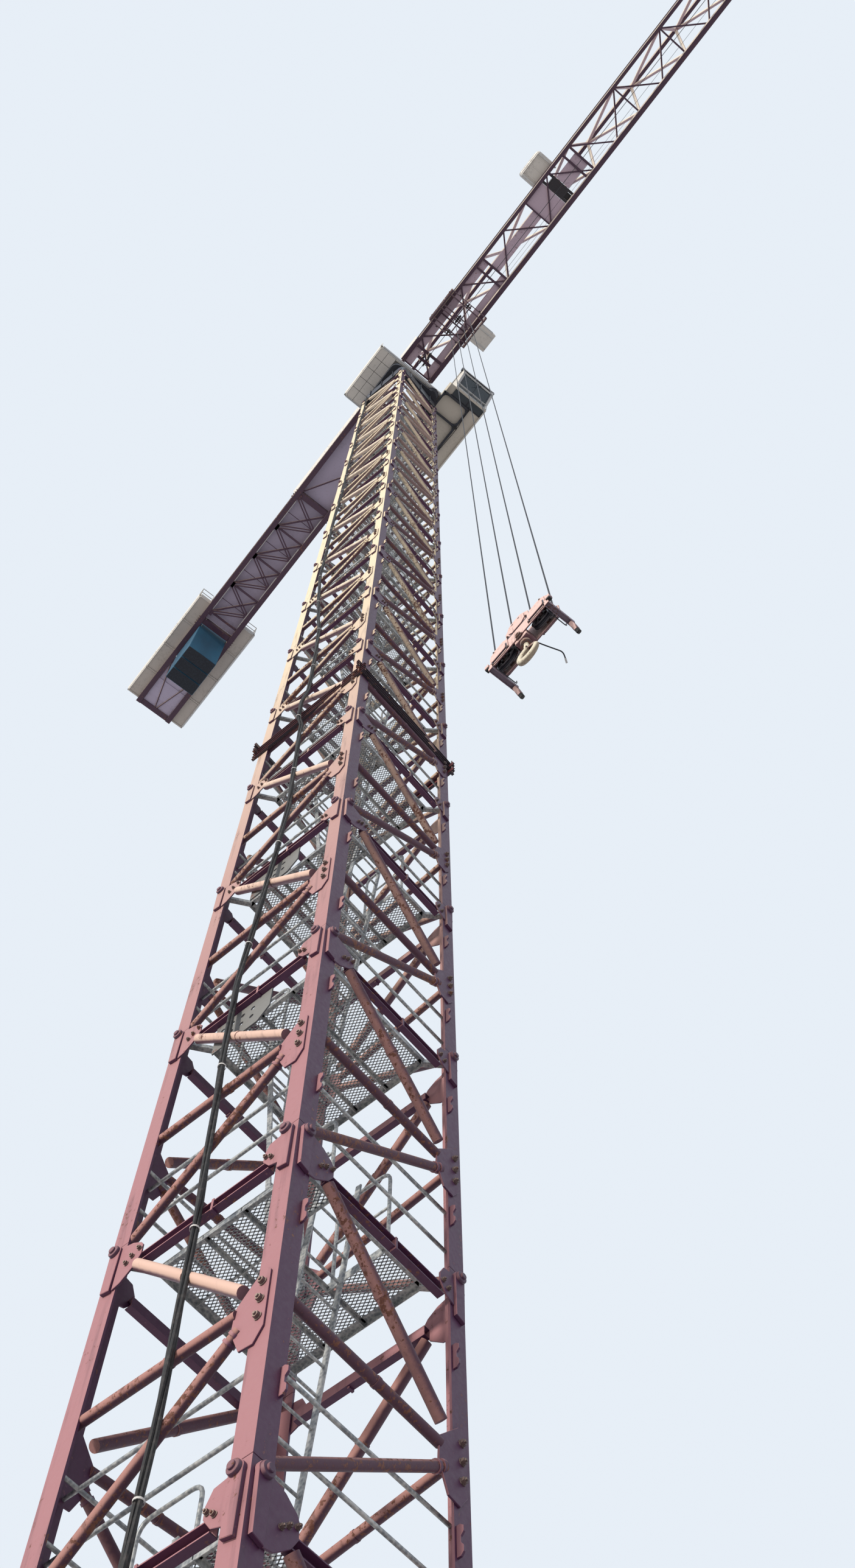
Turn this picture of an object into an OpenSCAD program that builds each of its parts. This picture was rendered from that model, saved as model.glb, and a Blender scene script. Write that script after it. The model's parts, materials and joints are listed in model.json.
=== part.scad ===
// Flat-top tower crane on a braced square mast, drawn at its real size and scaled down as a whole.
// Z is up. The origin is the centre of the base, on the ground. The jib turns about Z.

/* [Scale] */
// Real size divided by the model's size
model_scale = 2; // [2:1:20]
// Angle of the jib from the mast's x axis, in degrees
slew_angle = -11.5; // [-180:0.5:180]

/* [Mast] */
// Outer width of the mast over its legs
mast_w = 2000; // [1800:10:2400]
// Side of a square leg
leg_b = 180; // [140:5:220]
// Height of one mast section, from joint to joint
section_h = 3330; // [3000:10:3600]
// Number of mast sections above the base section
sections = 17; // [12:1:18]
// Height of the lowest joint above the ground
base_h = 5050; // [4800:10:5400]
// Thickness of a bracing tube
brace_b = 90; // [60:2:110]
// Height of the beam across each face under a joint
joint_beam_h = 100; // [80:5:180]

/* [Base] */
// Height of the beams of the base frame
base_beam_h = 300; // [240:10:400]
// Side of a foundation shoe
shoe_w = 700; // [640:10:800]
// Distance between the anchor bolts of one shoe
bolt_spacing = 540; // [500:5:580]
// Diameter of an anchor bolt's hole
bolt_hole_d = 44; // [30:1:60]

/* [Slewing] */
// Height of the support under the slewing ring
support_h = 1340; // [1200:10:1500]
// Outer diameter of the slewing ring
ring_d = 1960; // [1700:10:2000]
// Running gap of the slewing ring and of the wheels on their ledges
seat = 0.6; // [0.4:0.1:2]
// Width of the turntable
turntable_w = 2200; // [2100:10:2300]
// Height of the turntable
turntable_h = 860; // [700:10:1000]

/* [Jib] */
// Distance from the middle of one lower chord to the middle of the other
chord_gauge = 1380; // [1300:10:1400]
// Side of a square chord
chord_b = 130; // [110:5:150]
// Height from the lower chords to the top chord
jib_h = 2600; // [2200:10:2800]
// Length of one jib bay
bay_l = 2660; // [2500:10:2800]
// Number of jib bays beyond the root bay
bays = 11; // [6:1:11]
// Thickness of a jib bracing tube
lace_b = 80; // [60:2:90]
// Height of the lower chords above the turntable's top
head_h = 2740; // [2600:10:3000]

/* [Counter-jib] */
// Length of the counter-jib behind the slewing axis
counter_l = 17900; // [16500:50:18500]
// Distance from the middle of one main beam to the middle of the other
counter_gauge = 1580; // [1500:10:1650]
// Depth of a main beam
counter_beam_h = 420; // [360:10:500]

/* [Hoist] */
// Distance of the trolley from the slewing axis
trolley_u = 3700; // [3650:10:4400]
// Height of the hook block's frame above the ground
block_z = 19750; // [8000:10:40000]

/* [Hidden] */

// mast levels
mast_half = mast_w / 2;
leg_c = mast_half - leg_b / 2;
leg_in = mast_half - leg_b;
mast_top = base_h + sections * section_h;
knee_t = 18;

// fishplates of the leg joints and lugs for climbing, measured from the joint below or above
plate_t = 22;
plate_half = 50;
plate_low = 570;
pin_drop = 90;
pin_d = 108;
pin_proud = 24;
lug_c = 850;
lug_t = 24;
lug_out = 60;
lug_half = 125;
lug_share = [0.2, 0.7];

// base frame
base_beam_b = 200;
shoe_t = 60;

// where the three tubes of a bay leave the left leg and meet the right one, as shares of its height
left_share = [0.02, 0.44, 0.87];
right_share = [0.36, 0.41, 0.47];
knee_share = 0.4;
beam_drop = 360;
foot_drop = 180;

// platforms and ladders in the mast
platform_t = 40;
platform_drop = 60;
platform_half = 780;
platform_front = 700;
platform_arm = 80;
hatch_w = 640;
ladder_w = 420;
ladder_foot = 40;
ladder_head = 520;
ladder_over = 900;
stile_b = 50;
rung_b = 30;
rung_pitch = 280;

// tie collar half way between the fourth and the fifth joint above the photographed foot
collar_z = base_h + 5.5 * section_h;
collar_b = 160;
collar_beam_h = 120;
collar_gap = 100;
collar_end = mast_half + 190;

// power cable up the front face: place across, distance off the bracing, height counted in sections
cable_d = 70;
cable_sides = 8;
cable_off = collar_b;
cable_foot = (base_beam_h + 90 - base_h) / section_h;
cable_route = [[100, 0, cable_foot], [120, 0, 1.2], [60, 0, 1.9], [-100, 0, 3], [40, 0, 4.3], [-60, 0, 5.3],
  [-70, cable_off, 5.44], [-90, cable_off, 5.66], [-100, 0, 5.8], [-200, 0, 6.9], [-560, 0, 8.4],
  [-620, 0, 10.8], [-700, 0, sections]];

// slewing levels
ring_z = mast_top + support_h;
ring_h = 110;
turn_z = ring_z + ring_h + seat;
turn_top = turn_z + turntable_h;
deck_z = turn_z + 540;
deck_t = 80;
deck_front = turntable_w / 2 + 100;
deck_out = turntable_w / 2 + 760;
cabinet_h = 1750;
cabinet_rear = -900;
cabinet_front = 700;

// cab and the frame under it
cab_in = turntable_w / 2 + 300;
cab_out = cab_in + 1500;
cab_beam_v = cab_in + 900;
cab_rear = 450;
cab_front = 2320;
cab_h = 2200;
cab_wall = 60;
frame_front = cab_front - 520;
frame_low = deck_z - 260;

// jib levels and stations
chord_z = turn_top + head_h;
top_z = chord_z + jib_h;
gauge_half = chord_gauge / 2;
root_u = 1000;
first_station = 3440;
apex_share = 0.28;
tip_u = first_station + bays * bay_l;
ledge_w = 60;
ledge_t = 30;
bottom_b = 60;
chord_in = gauge_half - chord_b / 2;
chord_out = gauge_half + chord_b / 2;
walk_t = 30;
walk_z = chord_z + bottom_b / 2 + walk_t;
winch_u = 10000;
tip_l = 900;
sheave_beam_b = 120;

// counter-jib
counter_half = counter_gauge / 2;
counter_beam_b = 180;
counter_root = -1000;
counter_beam_t = 240;
counter_in = counter_half - counter_beam_b / 2;
counter_out = counter_half + counter_beam_b / 2;
counter_top = chord_z + counter_beam_h / 2;
side_w = 580;
slab_t = 570;
slab_gap = 15;
slabs = 3;
slab_first = 4570 - counter_l;
counter_first = -round(0.3436 * counter_l);
counter_bays = 4;
counter_pitch = (counter_first - slab_first - 780) / counter_bays;
counter_mid = (counter_first + counter_root) / 2;
counter_deck_rear = slab_first + 430;
counter_rail_rear = slab_first + 1330;
side_front = slab_first + 1080;
end_deck_rear = 660 - counter_l;
end_deck_front = 1490 - counter_l;
hoist_winch_u = slab_first + 3730;
slab_drop = 3300;
lug_h = 240;

// hoist
trolley_l = 1500;
side_t = 30;
wheel_d = 130;
wheel_t = 40;
trolley_half = gauge_half + chord_b / 2 + ledge_w + 25;
trolley_z = chord_z - 640;
fall_d = 22;
fall_gap = 350;
sheave_d = fall_gap - fall_d - 2 * seat;
end_sheave_d = 180;
sheave_t = 80;
sheave_u = 1.5 * fall_gap + fall_d / 2 + seat + end_sheave_d / 2;
fall_u = [-1.5 * fall_gap, -0.5 * fall_gap, 0.5 * fall_gap, 1.5 * fall_gap];
block_l = 1080;
falls_low = block_z + 130;
falls_high = trolley_z + 80;
wheel_z = chord_z - chord_b / 2 + ledge_t + seat + wheel_d / 2;
wheel_v = chord_out + 10;
crosshead_low = -90;
crosshead_high = 60;
shank_d = 70;
cheek_v = 90;
cheek_t = 20;

// railings
rail_h = 1100;
rail_b = 40;

function station(k) = k < 0 ? root_u : first_station + k * bay_l;
function apex(k) = station(k) + apex_share * (station(k + 1) - station(k));
function joint_z(k) = base_h + k * section_h;

// the whole crane is drawn at its real size and scaled here
module at_scale() {
  scale(1 / model_scale) children();
}

// pieces that turn with the jib are drawn with the jib along x
module upper() {
  at_scale() rotate([0, 0, slew_angle]) children();
}

// flat bar from p to q
module bar_2d(p, q, b) {
  translate(p) rotate(atan2(q[1] - p[1], q[0] - p[0]))
    translate([0, -b / 2]) square([norm(q - p), b]);
}

// square or oblong beam from p to q, b wide and h deep
module beam(p, q, b, h) {
  run = norm([q[0] - p[0], q[1] - p[1]]);
  translate(p) rotate([0, 0, atan2(q[1] - p[1], q[0] - p[0])])
    rotate([0, -atan2(q[2] - p[2], run), 0])
      translate([0, -b / 2, -h / 2]) cube([norm(q - p), b, h]);
}

// box given by its low and high corners
module box(low, high) {
  translate(low) cube(high - low);
}

// post and rail fence along x or y between two points at deck level, with n spaces
module fence(p, q, n) {
  for (i = [0:n]) {
    at = p + (q - p) * i / n;
    translate([at[0] - rail_b / 2, at[1] - rail_b / 2, at[2]]) cube([rail_b, rail_b, rail_h]);
  }
  for (level = [rail_h / 2, rail_h - rail_b])
    beam(p + [0, 0, level + rail_b / 2], q + [0, 0, level + rail_b / 2], rail_b, rail_b);
}

// four shoes on the ground joined by a square of beams and a cross
module base_frame() color([0.36, 0.22, 0.32]) at_scale() difference() {
  union() {
    for (sx = [-1, 1], sy = [-1, 1])
      translate([sx * leg_c - shoe_w / 2, sy * leg_c - shoe_w / 2, 0]) cube([shoe_w, shoe_w, shoe_t]);
    for (s = [-1, 0, 1]) {
      box([-leg_c - leg_b, s * leg_c - base_beam_b / 2, 0],
        [leg_c + leg_b, s * leg_c + base_beam_b / 2, base_beam_h]);
      box([s * leg_c - base_beam_b / 2, -leg_c - leg_b, 0],
        [s * leg_c + base_beam_b / 2, leg_c + leg_b, base_beam_h]);
    }
  }
  for (sx = [-1, 1], sy = [-1, 1], bx = [-1, 1], by = [-1, 1])
    translate([sx * leg_c + bx * bolt_spacing / 2, sy * leg_c + by * bolt_spacing / 2, -1])
      cylinder(d = bolt_hole_d, h = shoe_t + 2, $fn = 32);
}

// fishplate under a leg joint with its pin, standing proud of the leg's outer face, the plane y = 0
module joint_plate() rotate([90, 0, 0]) {
  linear_extrude(plate_t) {
    translate([-plate_half, -plate_low]) square([2 * plate_half, plate_low - pin_drop]);
    translate([0, -pin_drop]) circle(plate_half + 10, $fn = 32);
  }
  translate([0, -pin_drop, plate_t - 1]) cylinder(d = pin_d, h = pin_proud + 1, $fn = 32);
}

// four box legs with their fishplates, and the lugs on the two sides that the crane climbs by
module mast_legs() color([0.55, 0.36, 0.45]) at_scale() {
  for (turn = [0:90:270]) rotate([0, 0, turn]) {
    box([-mast_half, -mast_half, base_beam_h], [-leg_in, -leg_in, mast_top]);
    for (k = [0:sections]) {
      translate([-leg_c, -mast_half, joint_z(k)]) joint_plate();
      translate([-mast_half, -leg_c, joint_z(k)]) rotate([0, 0, -90]) joint_plate();
    }
  }
  for (sx = [0, 1], sy = [0, 1]) mirror([sx, 0, 0]) mirror([0, sy, 0])
    for (k = [0:sections - 1], share = lug_share)
      translate([mast_half - 1, lug_c - lug_t / 2, joint_z(k) + share * section_h - lug_half])
        cube([lug_out + 1, lug_t, 2 * lug_half]);
}

// one bay of a face, seen from outside: three tubes meet at the knee on the right leg
module face_bay_2d(z0) for (i = [0:2])
  bar_2d([leg_in + 50, z0 + right_share[i] * section_h], [-leg_in - 50, z0 + left_share[i] * section_h],
    brace_b);

// plate of a knee, which laps over the leg's outer face
module knee_2d(z0) {
  mid = z0 + knee_share * section_h;
  polygon([[leg_in + 127, mid - 260], [leg_in + 127, mid + 275], [leg_in + 10, mid + 300],
    [leg_in - 90, mid + 195], [leg_in - 165, mid + 85], [leg_in - 170, mid - 100],
    [leg_in - 120, mid - 300], [leg_in - 30, mid - 383], [leg_in + 50, mid - 383]]);
}

// bracing of one face: its tubes and beams lie flush with the legs' outer faces, the plane y = 0
module mast_face() translate([0, -mast_half, 0]) rotate([90, 0, 0]) {
  translate([0, 0, -brace_b]) linear_extrude(brace_b) intersection() {
    translate([-leg_in, base_beam_h]) square([2 * leg_in, mast_top - base_beam_h]);
    union() {
      for (k = [-1:sections - 1]) face_bay_2d(joint_z(k));
      bar_2d([leg_in + 50, base_beam_h + 100], [-leg_in - 50, joint_z(-1) - foot_drop], brace_b);
      for (k = [-1:sections])
        bar_2d([-leg_in - 50, joint_z(k) - beam_drop], [leg_in + 50, joint_z(k) - beam_drop], joint_beam_h);
    }
  }
  linear_extrude(knee_t) for (k = [-1:sections - 1]) knee_2d(joint_z(k));
}

module mast_face_front() color([0.62, 0.42, 0.50]) at_scale() mast_face();
module mast_face_right() color([0.40, 0.26, 0.36]) at_scale() rotate([0, 0, 90]) mast_face();
module mast_face_back() color([0.40, 0.26, 0.36]) at_scale() rotate([0, 0, 180]) mast_face();
module mast_face_left() color([0.40, 0.26, 0.36]) at_scale() rotate([0, 0, 270]) mast_face();

// floor under a joint with its hatch, mirrored on every other level, held to the legs by four arms
module mast_platforms() color([0.70, 0.72, 0.74]) at_scale() for (k = [0:sections - 1])
  mirror([k % 2, 0, 0]) translate([0, 0, joint_z(k) - platform_drop - platform_t])
    linear_extrude(platform_t) difference() {
      union() {
        translate([-platform_half, -platform_front])
          square([2 * platform_half, platform_half + platform_front]);
        for (a = [45, -45]) rotate(a) square([2 * mast_w, platform_arm], center = true);
      }
      for (sx = [-1, 1], sy = [-1, 1])
        translate([sx * (leg_in + mast_w / 2), sy * (leg_in + mast_w / 2)]) square(mast_w, center = true);
      translate([platform_half - hatch_w, -hatch_w / 2]) square([hatch_w - rail_b, hatch_w]);
    }

// leaning ladder from each floor up through the hatch of the next
module mast_ladders() color([0.72, 0.74, 0.76]) at_scale() for (k = [-1:sections - 2])
  mirror([(k + 1) % 2, 0, 0]) translate([0, 0, joint_z(k)]) {
    low = k < 0 ? base_beam_h - joint_z(k) : -platform_drop;
    high = section_h + ladder_over;
    lean = (ladder_head - ladder_foot) / (high - low);
    for (s = [-1, 1]) translate([0, s * ladder_w / 2 + stile_b / 2, 0]) rotate([90, 0, 0])
      linear_extrude(stile_b) intersection() {
        bar_2d([ladder_foot - lean * stile_b, low - stile_b], [ladder_head, high], stile_b);
        translate([-mast_half, low]) square([mast_w, high - low]);
      }
    for (z = [low + rung_pitch:rung_pitch:high - rung_pitch / 2])
      translate([ladder_foot + lean * (z - low) - rung_b / 2, -ladder_w / 2, z])
        cube([rung_b, ladder_w, rung_b]);
  }

// two rings of beams clamped round the mast, one above the other, to take a tie to a building
module tie_collar() color([0.22, 0.15, 0.20]) at_scale() for (level = [0, 1])
  translate([0, 0, collar_z + level * (collar_beam_h + collar_gap)]) {
    for (s = [-1, 1]) {
      translate([-collar_end, s > 0 ? mast_half : -mast_half - collar_b, 0])
        cube([2 * collar_end, collar_b, collar_beam_h]);
      translate([s > 0 ? mast_half : -mast_half - collar_b, -mast_half, 0])
        cube([collar_b, 2 * mast_half, collar_beam_h]);
      for (t = [-1, 1])
        translate([s * (mast_half + collar_b / 2) - 40, t * (mast_half + collar_b / 2) - 40, 0])
          cube([80, 80, level == 0 ? collar_beam_h + collar_gap : collar_beam_h]);
    }
  }

// ring of points round one point of the cable's route
function cable_ring(p) = [for (i = [0:cable_sides - 1])
  let (a = 90 + i * 360 / cable_sides)
    [p[0] + cable_d / 2 * cos(a), -mast_half - seat - p[1] - cable_d / 2 * (1 - sin(a)), joint_z(p[2])]];

// power cable tied to the outside of the front face, swaying a little from tie to tie
module power_cable() color([0.07, 0.07, 0.08]) at_scale() {
  rings = len(cable_route);
  sides = [for (k = [0:rings - 2], i = [0:cable_sides - 1])
    let (j = (i + 1) % cable_sides, low = k * cable_sides, high = low + cable_sides)
      [low + i, high + i, high + j, low + j]];
  bottom = [for (i = [0:cable_sides - 1]) i];
  top = [for (i = [cable_sides - 1:-1:0]) (rings - 1) * cable_sides + i];
  polyhedron([for (p = cable_route) each cable_ring(p)], concat([bottom], sides, [top]));
}

// rounded square, w across
module round_square(w, r) {
  for (sx = [-1, 1], sy = [-1, 1])
    translate([sx * (w / 2 - r), sy * (w / 2 - r)]) circle(r, $fn = 48);
  square([w, w - 2 * r], center = true);
  square([w - 2 * r, w], center = true);
}

// box between the mast and the slewing ring
module ring_support() color([0.10, 0.10, 0.14]) at_scale() translate([0, 0, mast_top]) difference() {
  linear_extrude(support_h) round_square(2 * mast_half + 80, 260);
  translate([0, 0, -1]) linear_extrude(support_h + 2) round_square(2 * leg_in - 60, 200);
}

// fixed half of the slewing ring
module slewing_ring() color([0.08, 0.08, 0.10]) at_scale() translate([0, 0, ring_z]) difference() {
  cylinder(d = ring_d, h = ring_h, $fn = 96);
  translate([0, 0, -1]) cylinder(d = ring_d - 360, h = ring_h + 2, $fn = 96);
}

// turning box on the slewing ring
module turntable() color([0.10, 0.10, 0.14]) upper() translate([0, 0, turn_z]) difference() {
  linear_extrude(turntable_h) round_square(turntable_w, 260);
  translate([0, 0, -1]) linear_extrude(turntable_h + 2) round_square(turntable_w - 400, 160);
}

// floor round the turntable, wide on the right under the cabinet
module slewing_deck() color([0.86, 0.86, 0.84]) upper()
  translate([0, 0, deck_z - deck_t]) linear_extrude(deck_t) difference() {
    translate([-deck_front, -deck_out]) square([2 * deck_front, deck_out + turntable_w / 2]);
    round_square(turntable_w, 260);
  }

// electrical cabinet
module switch_cabinet() color([0.90, 0.90, 0.88]) upper()
  box([cabinet_rear, -deck_out + 120, deck_z], [cabinet_front, -turntable_w / 2 - 60, deck_z + cabinet_h]);

// frame between the turntable and the two jibs
module tower_head() color([0.45, 0.28, 0.38]) upper() {
  foot = 900;
  for (su = [-1, 1], sv = [-1, 1]) {
    box([su * foot - 80, sv * gauge_half - 80, turn_top], [su * foot + 80, sv * gauge_half + 80, chord_z]);
    beam([su * foot, sv * gauge_half, chord_z], [su * foot * 0.3, 0, top_z - 80], 120, 120);
  }
  for (sv = [-1, 1])
    box([-root_u, sv * gauge_half - chord_b / 2, chord_z - chord_b / 2],
      [root_u, sv * gauge_half + chord_b / 2, chord_z + chord_b / 2]);
  for (su = [-1, 1])
    box([su * foot - 65, -gauge_half, chord_z - chord_b / 2],
      [su * foot + 65, gauge_half, chord_z + chord_b / 2]);
  box([-root_u, -chord_b / 2, top_z - 160], [root_u, chord_b / 2, top_z + chord_b / 2]);
}

// side view of the cab, drawn in by inset
module cab_profile(inset) {
  polygon([[cab_rear + inset, inset], [cab_front - 520 - 0.5 * inset, inset],
    [cab_front - 420 - inset, 700], [cab_front - inset, 1300 + 0.5 * inset],
    [cab_front - inset, cab_h - inset], [cab_rear + inset, cab_h - inset]]);
}

// black frame beside the turntable, with the floor of the way to the cab
module cab_support() color([0.09, 0.09, 0.13]) upper() {
  for (v = [turntable_w / 2, cab_beam_v, cab_out - 120])
    box([-deck_front, v, frame_low], [frame_front, v + 120, deck_z - 60]);
  for (u = [-deck_front, -300, cab_rear, frame_front - 120])
    box([u, turntable_w / 2 + 60, frame_low], [u + 120, cab_out - 60, deck_z - 60]);
  box([-deck_front, turntable_w / 2, deck_z - 60], [frame_front, cab_out, deck_z]);
}

// closed cab shell with window openings in front and at the outer side
module cab_body() color([0.88, 0.88, 0.86]) upper() difference() {
  translate([0, cab_out, deck_z]) rotate([90, 0, 0]) linear_extrude(cab_out - cab_in) cab_profile(0);
  translate([0, cab_out - cab_wall, deck_z]) rotate([90, 0, 0])
    linear_extrude(cab_out - cab_in - 2 * cab_wall) cab_profile(cab_wall);
  box([cab_front - 480, cab_in + 120, deck_z + 120], [cab_front + 10, cab_out - 120, deck_z + 2060]);
  box([cab_rear + 500, cab_out - 200, deck_z + 800], [cab_front - 500, cab_out + 10, deck_z + 2000]);
}

module cab_glass() color([0.25, 0.35, 0.42]) upper() {
  intersection() {
    box([cab_front - 480, cab_in + 120, deck_z + 120], [cab_front + 10, cab_out - 120, deck_z + 2060]);
    translate([0, cab_out, deck_z]) rotate([90, 0, 0]) linear_extrude(cab_out - cab_in) difference() {
      cab_profile(10);
      cab_profile(30);
    }
  }
  box([cab_rear + 500, cab_out - 30, deck_z + 800], [cab_front - 500, cab_out - 10, deck_z + 2000]);
}

// railings round the floors beside the turntable
module deck_rails() color([0.86, 0.86, 0.84]) upper() {
  fence([-deck_front + 20, -deck_out + 20, deck_z], [deck_front - 20, -deck_out + 20, deck_z], 3);
  fence([-deck_front + 20, turntable_w / 2 + 100, deck_z], [-deck_front + 20, cab_out - 20, deck_z], 2);
}

// two lower chords, each with the ledge that the trolley's wheels run on
module jib_lower_chords() color([0.40, 0.25, 0.36]) upper() for (s = [-1, 1]) {
  box([root_u, s * gauge_half - chord_b / 2, chord_z - chord_b / 2],
    [tip_u, s * gauge_half + chord_b / 2, chord_z + chord_b / 2]);
  translate([root_u, s > 0 ? gauge_half + chord_b / 2 - 1 : -gauge_half - chord_b / 2 - ledge_w,
    chord_z - chord_b / 2]) cube([tip_u - root_u, ledge_w + 1, ledge_t]);
}

module jib_top_chord() color([0.40, 0.25, 0.36]) upper()
  box([root_u, -chord_b / 2, top_z - chord_b / 2],
    [apex(bays - 1) + 200, chord_b / 2, top_z + chord_b / 2]);

// one side of the jib: from each top node a steep and a shallow tube run to the lower chord
module jib_lacing(s) {
  slope = norm([gauge_half, jib_h]);
  difference() {
    translate([0, s * gauge_half, chord_z]) rotate([s * atan2(gauge_half, jib_h), 0, 0]) rotate([90, 0, 0])
      linear_extrude(lace_b, center = true) intersection() {
        translate([root_u, -200]) square([tip_u - root_u, slope + 400]);
        union() for (k = [-1:bays - 1]) {
          bar_2d([station(k), 0], [apex(k), slope], lace_b);
          bar_2d([apex(k), slope], [station(k + 1), 0], lace_b);
        }
      }
    for (side = [-1, 1])
      box([root_u - 500, side * gauge_half - chord_b / 2, chord_z - chord_b / 2 - 200],
        [tip_u + 500, side * gauge_half + chord_b / 2, chord_z + chord_b / 2]);
    box([root_u - 500, -chord_b / 2, top_z - chord_b / 2],
      [tip_u + 500, chord_b / 2, top_z + chord_b / 2 + 500]);
    box([root_u - 500, s > 0 ? -900 : 0, chord_z - 300], [tip_u + 500, s > 0 ? 0 : 900, top_z + 500]);
  }
}

module jib_lacing_left() color([0.85, 0.78, 0.72]) upper() jib_lacing(1);
module jib_lacing_right() color([0.85, 0.78, 0.72]) upper() jib_lacing(-1);

// struts and V bars between the lower chords; the V points change sides after the winch
module jib_bottom_lacing() color([0.40, 0.25, 0.36]) upper() translate([0, 0, chord_z])
  linear_extrude(bottom_b, center = true) intersection() {
    translate([root_u, -chord_in]) square([tip_u - root_u, 2 * chord_in]);
    union() {
      over = chord_in + bottom_b;
      for (u = concat([root_u + bottom_b / 2, tip_u - bottom_b / 2], [for (k = [0:bays - 1]) station(k)]))
        bar_2d([u, -over], [u, over], bottom_b);
      for (k = [-1:bays - 1]) {
        side = k < 3 ? -1 : 1;
        mid = (station(k) + station(k + 1)) / 2;
        bar_2d([station(k), -side * over], [mid, side * over], bottom_b);
        bar_2d([mid, side * over], [station(k + 1), -side * over], bottom_b);
      }
    }
  }

// plate walks: one along each side of the root, then one along the middle to the trolley winch
module jib_walkway() color([0.45, 0.32, 0.42]) upper() translate([0, 0, walk_z - walk_t]) {
  side_walk = 300;
  for (s = [-1, 1])
    box([root_u, s > 0 ? chord_in - side_walk : -chord_in, 0],
      [station(1), s > 0 ? chord_in : side_walk - chord_in, walk_t]);
  box([station(1), -230, 0], [station(2), 190, walk_t]);
  box([station(2), -chord_in, 0], [winch_u - 250, chord_in, walk_t]);
  box([winch_u + 250, -330, 0], [station(3), 330, walk_t]);
}

// end frame of the jib, drawn in to a cross beam
module jib_tip() color([0.40, 0.25, 0.36]) upper() {
  end = tip_u + tip_l;
  tip_b = 110;
  intersection() {
    union() for (s = [-1, 1])
      beam([tip_u - tip_b, s * gauge_half, chord_z], [end, s * 200, chord_z], tip_b, tip_b);
    box([tip_u, -gauge_half - chord_b, chord_z - tip_b], [end, gauge_half + chord_b, chord_z + tip_b]);
  }
  box([end - 60, -300, chord_z - 80], [end + 40, 300, chord_z + 80]);
}

// drum and motor that pull the trolley, on two cross beams
module trolley_winch() color([0.18, 0.14, 0.18]) upper() {
  beam_top = chord_z + 190;
  drum_z = chord_z + 400;
  for (u = [winch_u - 240, winch_u + 140])
    box([u, -chord_in, chord_z + bottom_b / 2], [u + 100, chord_in, beam_top]);
  for (v = [-420, 330])
    box([winch_u - 160, v, beam_top - 130], [winch_u + 160, v + 60, drum_z + 160]);
  translate([winch_u, 340, drum_z]) rotate([90, 0, 0]) cylinder(d = 300, h = 720, $fn = 48);
  for (v = [-330, 260])
    translate([winch_u, v + 30, drum_z]) rotate([90, 0, 0]) cylinder(d = 420, h = 30, $fn = 48);
  box([winch_u - 130, 389, drum_z - 200], [winch_u + 130, 600, drum_z + 120]);
}

// floor on arms outside the right chord, beside the trolley winch and above the passing trolley
module winch_platform() color([0.80, 0.80, 0.78]) upper() {
  low = chord_z + 120;
  top = low + 60;
  far = chord_out + 740;
  rear = winch_u - 560;
  front = winch_u + 560;
  for (u = [rear + 20, front - 100])
    box([u, -chord_out, chord_z + chord_b / 2], [u + 80, -chord_in, low + 1]);
  box([rear, -far, low], [front, 30 - chord_out, top]);
  for (u = [rear + 20, front - 20])
    fence([u, 20 - far, top], [u, -chord_out, top], 1);
  fence([rear + 20, 20 - far, top], [front - 20, 20 - far, top], 2);
}

// sheaves that lead the hoist rope into the jib, between two brackets on a cross beam
module root_sheaves() color([0.15, 0.12, 0.16]) upper() translate([root_u + 500, 0, 0]) {
  axle_z = chord_z + 420;
  beam_top = walk_z + 60;
  box([-sheave_beam_b / 2, -chord_in, walk_z], [sheave_beam_b / 2, chord_in, beam_top]);
  for (v = [-120, 60])
    translate([0, v + 60, axle_z]) rotate([90, 0, 0]) cylinder(d = 480, h = 60, $fn = 48);
  translate([0, 170, axle_z]) rotate([90, 0, 0]) cylinder(d = 70, h = 340, $fn = 32);
  for (v = [-170, 140])
    box([-sheave_beam_b, v, walk_z], [sheave_beam_b, v + 30, axle_z + 60]);
}

// twin main beams with cross beams, and light bracing under the floor
module counter_jib_beams() color([0.42, 0.27, 0.37]) upper() {
  low = chord_z - counter_beam_h / 2;
  for (s = [-1, 1])
    box([-counter_l, s * counter_half - counter_beam_b / 2, low],
      [counter_root, s * counter_half + counter_beam_b / 2, counter_top]);
  for (u = [counter_root - counter_beam_t, counter_first, slab_first + 130, slab_first - 2170, -counter_l])
    box([u, -counter_half, low + 40], [u + counter_beam_t, counter_half, counter_top - 60]);
  translate([0, 0, low + 60]) linear_extrude(80) intersection() {
    translate([-counter_l, -counter_in - 1]) square([counter_l + counter_root, 2 * counter_in + 2]);
    union() {
      for (k = [0:counter_bays - 1]) {
        near = counter_first - k * counter_pitch;
        far = near - counter_pitch;
        bar_2d([near, counter_in], [far, -counter_in], 80);
        bar_2d([far, counter_in + 50], [far, -counter_in - 50], 80);
      }
      bar_2d([counter_first + counter_beam_t, -counter_in], [counter_mid, counter_in + 30], 60);
      bar_2d([counter_mid, counter_in + 30], [counter_root - counter_beam_t, -counter_in], 60);
    }
  }
}

// plate floors between the main beams: a long one under the winch and a short one near the end
module counter_jib_deck() color([0.45, 0.32, 0.42]) upper() {
  top = counter_top - 30;
  box([counter_deck_rear, -counter_in, top - 30], [counter_root - counter_beam_t, counter_in, top]);
  box([end_deck_rear, -counter_in, chord_z - 130], [end_deck_front, counter_in, chord_z - 100]);
}

module counter_jib_rails() color([0.86, 0.86, 0.84]) upper() for (s = [-1, 1])
  fence([counter_rail_rear, s * counter_half, counter_top],
    [counter_root - 300, s * counter_half, counter_top], 8);

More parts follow.
